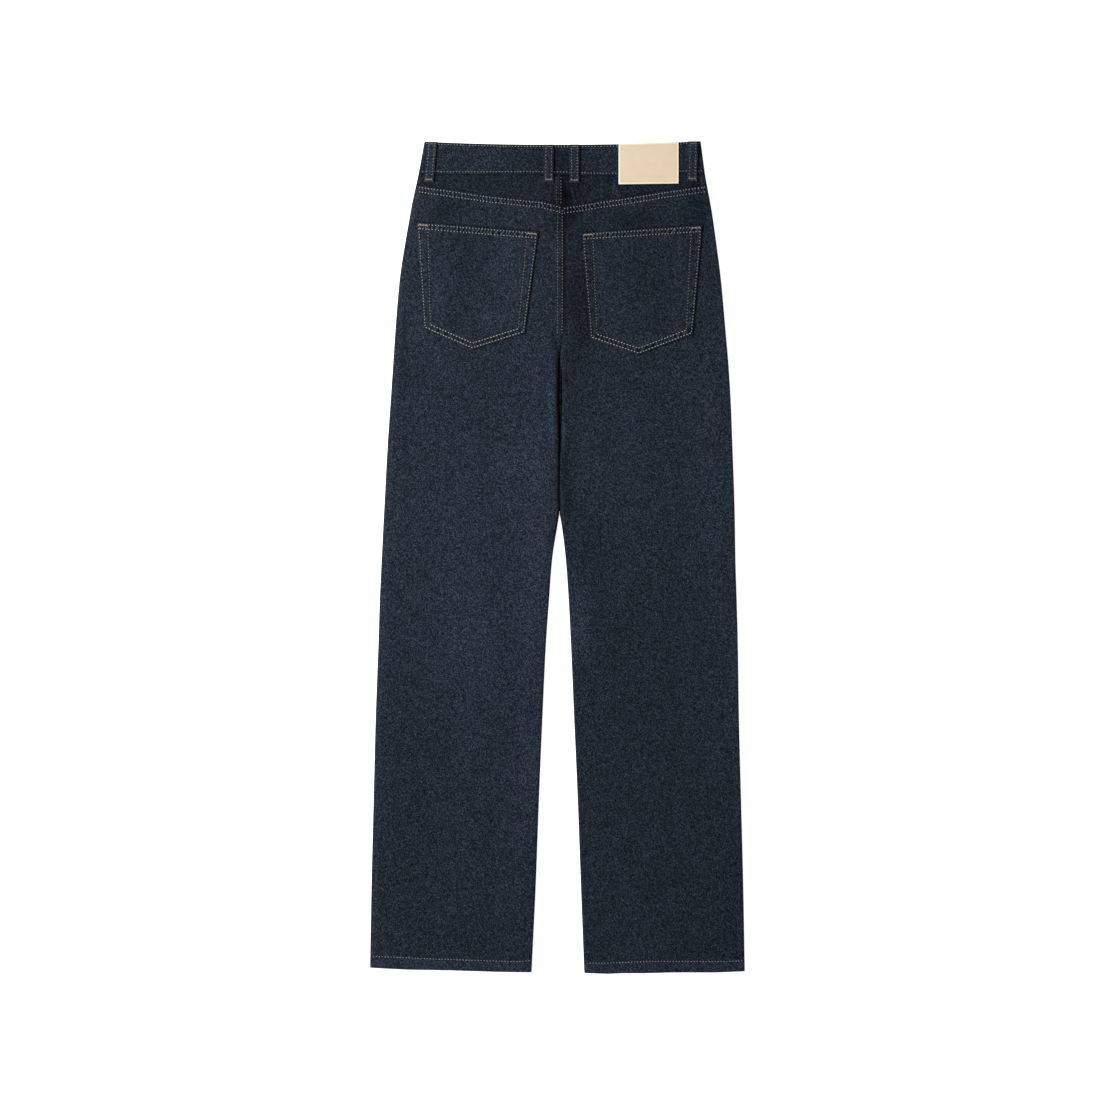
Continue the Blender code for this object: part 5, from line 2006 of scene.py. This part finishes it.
def sew_pocket(side):
    sewn = Sewing(f"stitching_pocket_{side}", [pockets[side]])
    outer = corner_rows(side, POCKET_ROW, POCKET_ROW, POCKET_ROW)
    inner = corner_rows(side, INNER_TOP, INNER_LOW, POCKET_ROW + BOTTOM_SPACING)
    for round_row, left_thick, right_thick in ((outer, 0.64, 0.8), (inner, 0.62, 0.68)):
        sewn.row(round_row[:2], thick=left_thick, tan=round_row is inner)
        sewn.row(round_row[1:4], long=1.5, thick=0.95)
        sewn.row(round_row[3:], thick=right_thick, tan=round_row is inner)
    down = np.array((0, -(POCKET_HEM - POCKET_ROW)))
    sewn.row([outer[0], outer[-1]])
    sewn.row([outer[0] + down, outer[-1] + down])
    for first, second in ((outer[0], inner[0]), (inner[-1], outer[-1])):
        sewn.bartack(first + TACK_DROP, second + TACK_DROP)
    return sewn.finish()


for side in SIDES:
    sewing[f"pocket_{side}"] = sew_pocket(side)

# %% Sew the waistband
BAND_ROW_TOP, BAND_ROW_LOW = 2.5, 2.9
LAP_ROW_X = 22  # the row across the outer end


def sew_band():
    """Two rows all round: on the back, and from below on both ends of the front."""
    above = Sewing("stitching_waistband_back", [band])
    above.row(sample(-172, 186, lambda x: waist_edge(x) - BAND_ROW_TOP), thick=0.65)
    above.row(sample(-177, 189, lambda x: waist_seam(x) + BAND_ROW_LOW), thick=0.62)
    below = Sewing("stitching_waistband_front", [band], from_above=False)
    for start, end in ((-171, 22.5), (26, 183)):
        below.row(sample(start, end, lambda x: waist_edge(x, front=True) - BAND_ROW_LOW))
        below.row(sample(start, end, lambda x: waist_seam(x, front=True) + BAND_ROW_LOW))
    below.row([(LAP_ROW_X, waist_seam(LAP_ROW_X, True) + BAND_ROW_LOW),
               (LAP_ROW_X, waist_edge(LAP_ROW_X, True) - BAND_ROW_LOW)])
    return above.finish(), below.finish()


sewing["band_back"], sewing["band_front"] = sew_band()


# %% Sew the loops
# Rows: off the loop's middle, and in from its low and its high end. Then a tack at each end: how
# far in, half its length, its width and its thickness.
LOOP_SEWING = (-3.7, 3.6), (3.2, 3.6), [(3.4, 4.8, 1.4, 0.6), (2.9, 4.6, 1.1, 0.4)]
FRONT_LOOP_SEWING = (-3.9, 3.9), (3.2, 2.6), [(1.9, 5.4, 1.7, 0.7), (1.9, 4.9, 1.7, 0.7)]


def sew_loop(sewn, low, high, rows, row_ends, tacks, **stitches):
    """Rows along a loop between the middles of its ends, and a tack at each."""
    (low_x, low_y), (high_x, high_y) = low, high
    for off in rows:
        sewn.row([(low_x + off, low_y + row_ends[0]), (high_x + off, high_y - row_ends[1])], **stitches)
    for (x, y), inward, (inset, half, width, thick) in zip((low, high), (1, -1), tacks):
        y = y + inward * inset
        sewn.bartack((x - half, y), (x + half, y), width=width, thick=thick)


def sew_loops():
    above = Sewing("stitching_loops_back", [loops[name] for name in BACK_LOOPS])
    for top_x, bottom_x in BACK_LOOPS.values():
        low, high = (bottom_x, waist_seam(bottom_x) - LOOP_DROP), (top_x, waist_edge(top_x))
        sew_loop(above, low, high, *LOOP_SEWING, thick=0.48)
    below = Sewing("stitching_loops_front", [loops[name] for name in FRONT_LOOPS], from_above=False)
    for x in FRONT_LOOPS.values():
        low, high = (x, waist_seam(x, True) - LOOP_DROP), (x, waist_edge(x, True))
        sew_loop(below, low, high, *FRONT_LOOP_SEWING, pitch=2.6)
    return above.finish(), below.finish()


sewing["loops_back"], sewing["loops_front"] = sew_loops()


# %% Sew the patch
PATCH_MARGIN = 3.6


def sew_patch():
    sewn = Sewing("stitching_patch", [patch], material=patch_thread)
    left, right = PATCH_LEFT + PATCH_MARGIN, PATCH_RIGHT - PATCH_MARGIN
    (low_left, top_left), (low_right, top_right) = patch_edges(left), patch_edges(right)
    ring = [(left, low_left + PATCH_MARGIN), (right, low_right + PATCH_MARGIN),
            (right, top_right - PATCH_MARGIN), (left, top_left - PATCH_MARGIN)]
    for start, end in zip(ring, ring[1:] + ring[:1]):
        sewn.row([start, end], pitch=3.3, thick=0.8)
    return sewn.finish()


sewing["patch"] = sew_patch()

# %% [markdown]
# ### Seams of the front
#
# Below, each pocket opening has two rows along its curve, and the fly is sewn in a long hook
# from the waist to the centre seam, with a bartack where it ends.

# %% Sew the front
SCOOP_ROWS = (1.8, 7.8)
FLY_X, FLY_TOP, FLY_END = 6.2, 482, 362  # the centre seam, and where the hook starts and ends
FLY_WIDTH, FLY_SPACING, FLY_BEND = 37, 6.0, 34
FLY_SEAM_ROWS, FLY_SEAM_END = (1.8, 7.6), 300


def sew_scoop(sewn, side):
    """Two rows along the curved opening, from the side seam to the waist."""
    inward = 1 if side == "left" else -1
    heights = blend(SCOOP_BOTTOM, float(front_seam(inward * -100)), np.linspace(0, 1, 60) ** 2.4)
    curve = np.array([(float(scoop_x(side, y)), y) for y in heights])
    along = np.gradient(curve, axis=0)
    off = inward * np.stack([along[:, 1], -along[:, 0]], 1) / np.hypot(*along.T)[:, None]
    for distance in SCOOP_ROWS:
        points = curve + distance * off
        clear_of_seam = np.abs(points[:, 0] - edge_x(side, "outer", points[:, 1])) > 3
        sewn.row(points[clear_of_seam & (points[:, 1] < heights[-1] - 1)])


def sew_fly(sewn):
    """Two rows in a hook, a bartack at its end, and the two rows of the seam below it."""
    for spacing in (0, FLY_SPACING):
        width = FLY_WIDTH - spacing
        bend = [(FLY_X - width * math.cos(turn),
                 FLY_END + spacing + FLY_BEND - FLY_BEND * math.sin(turn))
                for turn in np.linspace(0, QUARTER * 0.97, 14)]
        sewn.row([(FLY_X - width, FLY_TOP)] + bend)
    sewn.bartack((1.0, FLY_END + 4), (-5.5, FLY_END + 8))
    for off in FLY_SEAM_ROWS:
        sewn.row([(FLY_X - off, FLY_END - 4), (FLY_X - off, FLY_SEAM_END)])


def sew_front(side):
    sewn = Sewing(f"stitching_front_{side}", [front_panels[side]], from_above=False)
    sew_scoop(sewn, side)
    if side == "left":
        sew_fly(sewn)
    return sewn.finish()


for side in SIDES:
    sewing[f"front_{side}"] = sew_front(side)


# %% Sew the front's hems
def sew_front_hems():
    sewn = Sewing("stitching_front_hems", list(front_panels.values()), from_above=False)
    for points in HEM_ROWS.values():
        sewn.row(points, pitch=3.6)
    return sewn.finish()


sewing["front_hems"] = sew_front_hems()

# %% [markdown]
# ## What each piece stands for
#
# Every shell takes the place of the solid that it was laid on, which is hidden, and moves with
# the one body there is. For every piece of cloth the size that it was cut to is printed: its
# widest stretch, edge rolls and all, its length, and the area between.

def flat_cut(piece):
    """Width, length and area of the cut, from the outer side's flat map."""
    spots = np.empty(len(piece.data.loops) * 2)
    piece.data.uv_layers[0].data.foreach_get("uv", spots)
    spots = spots.reshape(-1, 2)
    width, length = (float(v) for v in np.ptp(spots, axis=0))
    surface = sum(face.area for face in piece.data.polygons) / 2
    return width, length, min(surface, width * length)


def declare(piece, node_name, is_cloth=True):
    """Attach a piece to the body and hide its solid; if it is cloth, print how it was cut."""
    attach(piece, "root")
    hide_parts(node_name)
    if is_cloth:
        width, length, area = flat_cut(piece)
        print(f"{piece.name}: {width:.3f} x {length:.3f} m, {area:.4f} m2")


for sewn in sewing.values():
    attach(sewn, "root")

for side in SIDES:
    declare(back_panels[side], f"back_panel_{side}")
    declare(front_panels[side], f"front_panel_{side}")
    declare(yokes[side], f"yoke_{side}")
    declare(pockets[side], f"back_pocket_{side}")
    declare(facings[side], f"front_pocket_facing_{side}")
declare(band, "waistband")
for name, loop in loops.items():
    declare(loop, name)
declare(patch, "label_patch")
declare(button, "waist_button", is_cloth=False)

# %% Sizes and end
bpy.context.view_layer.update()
triangles = sum(len(face.vertices) - 2 for o in bpy.context.scene.objects
                if o.type == "MESH" and not o.hide_render for face in o.data.polygons)
print("triangles:", triangles)
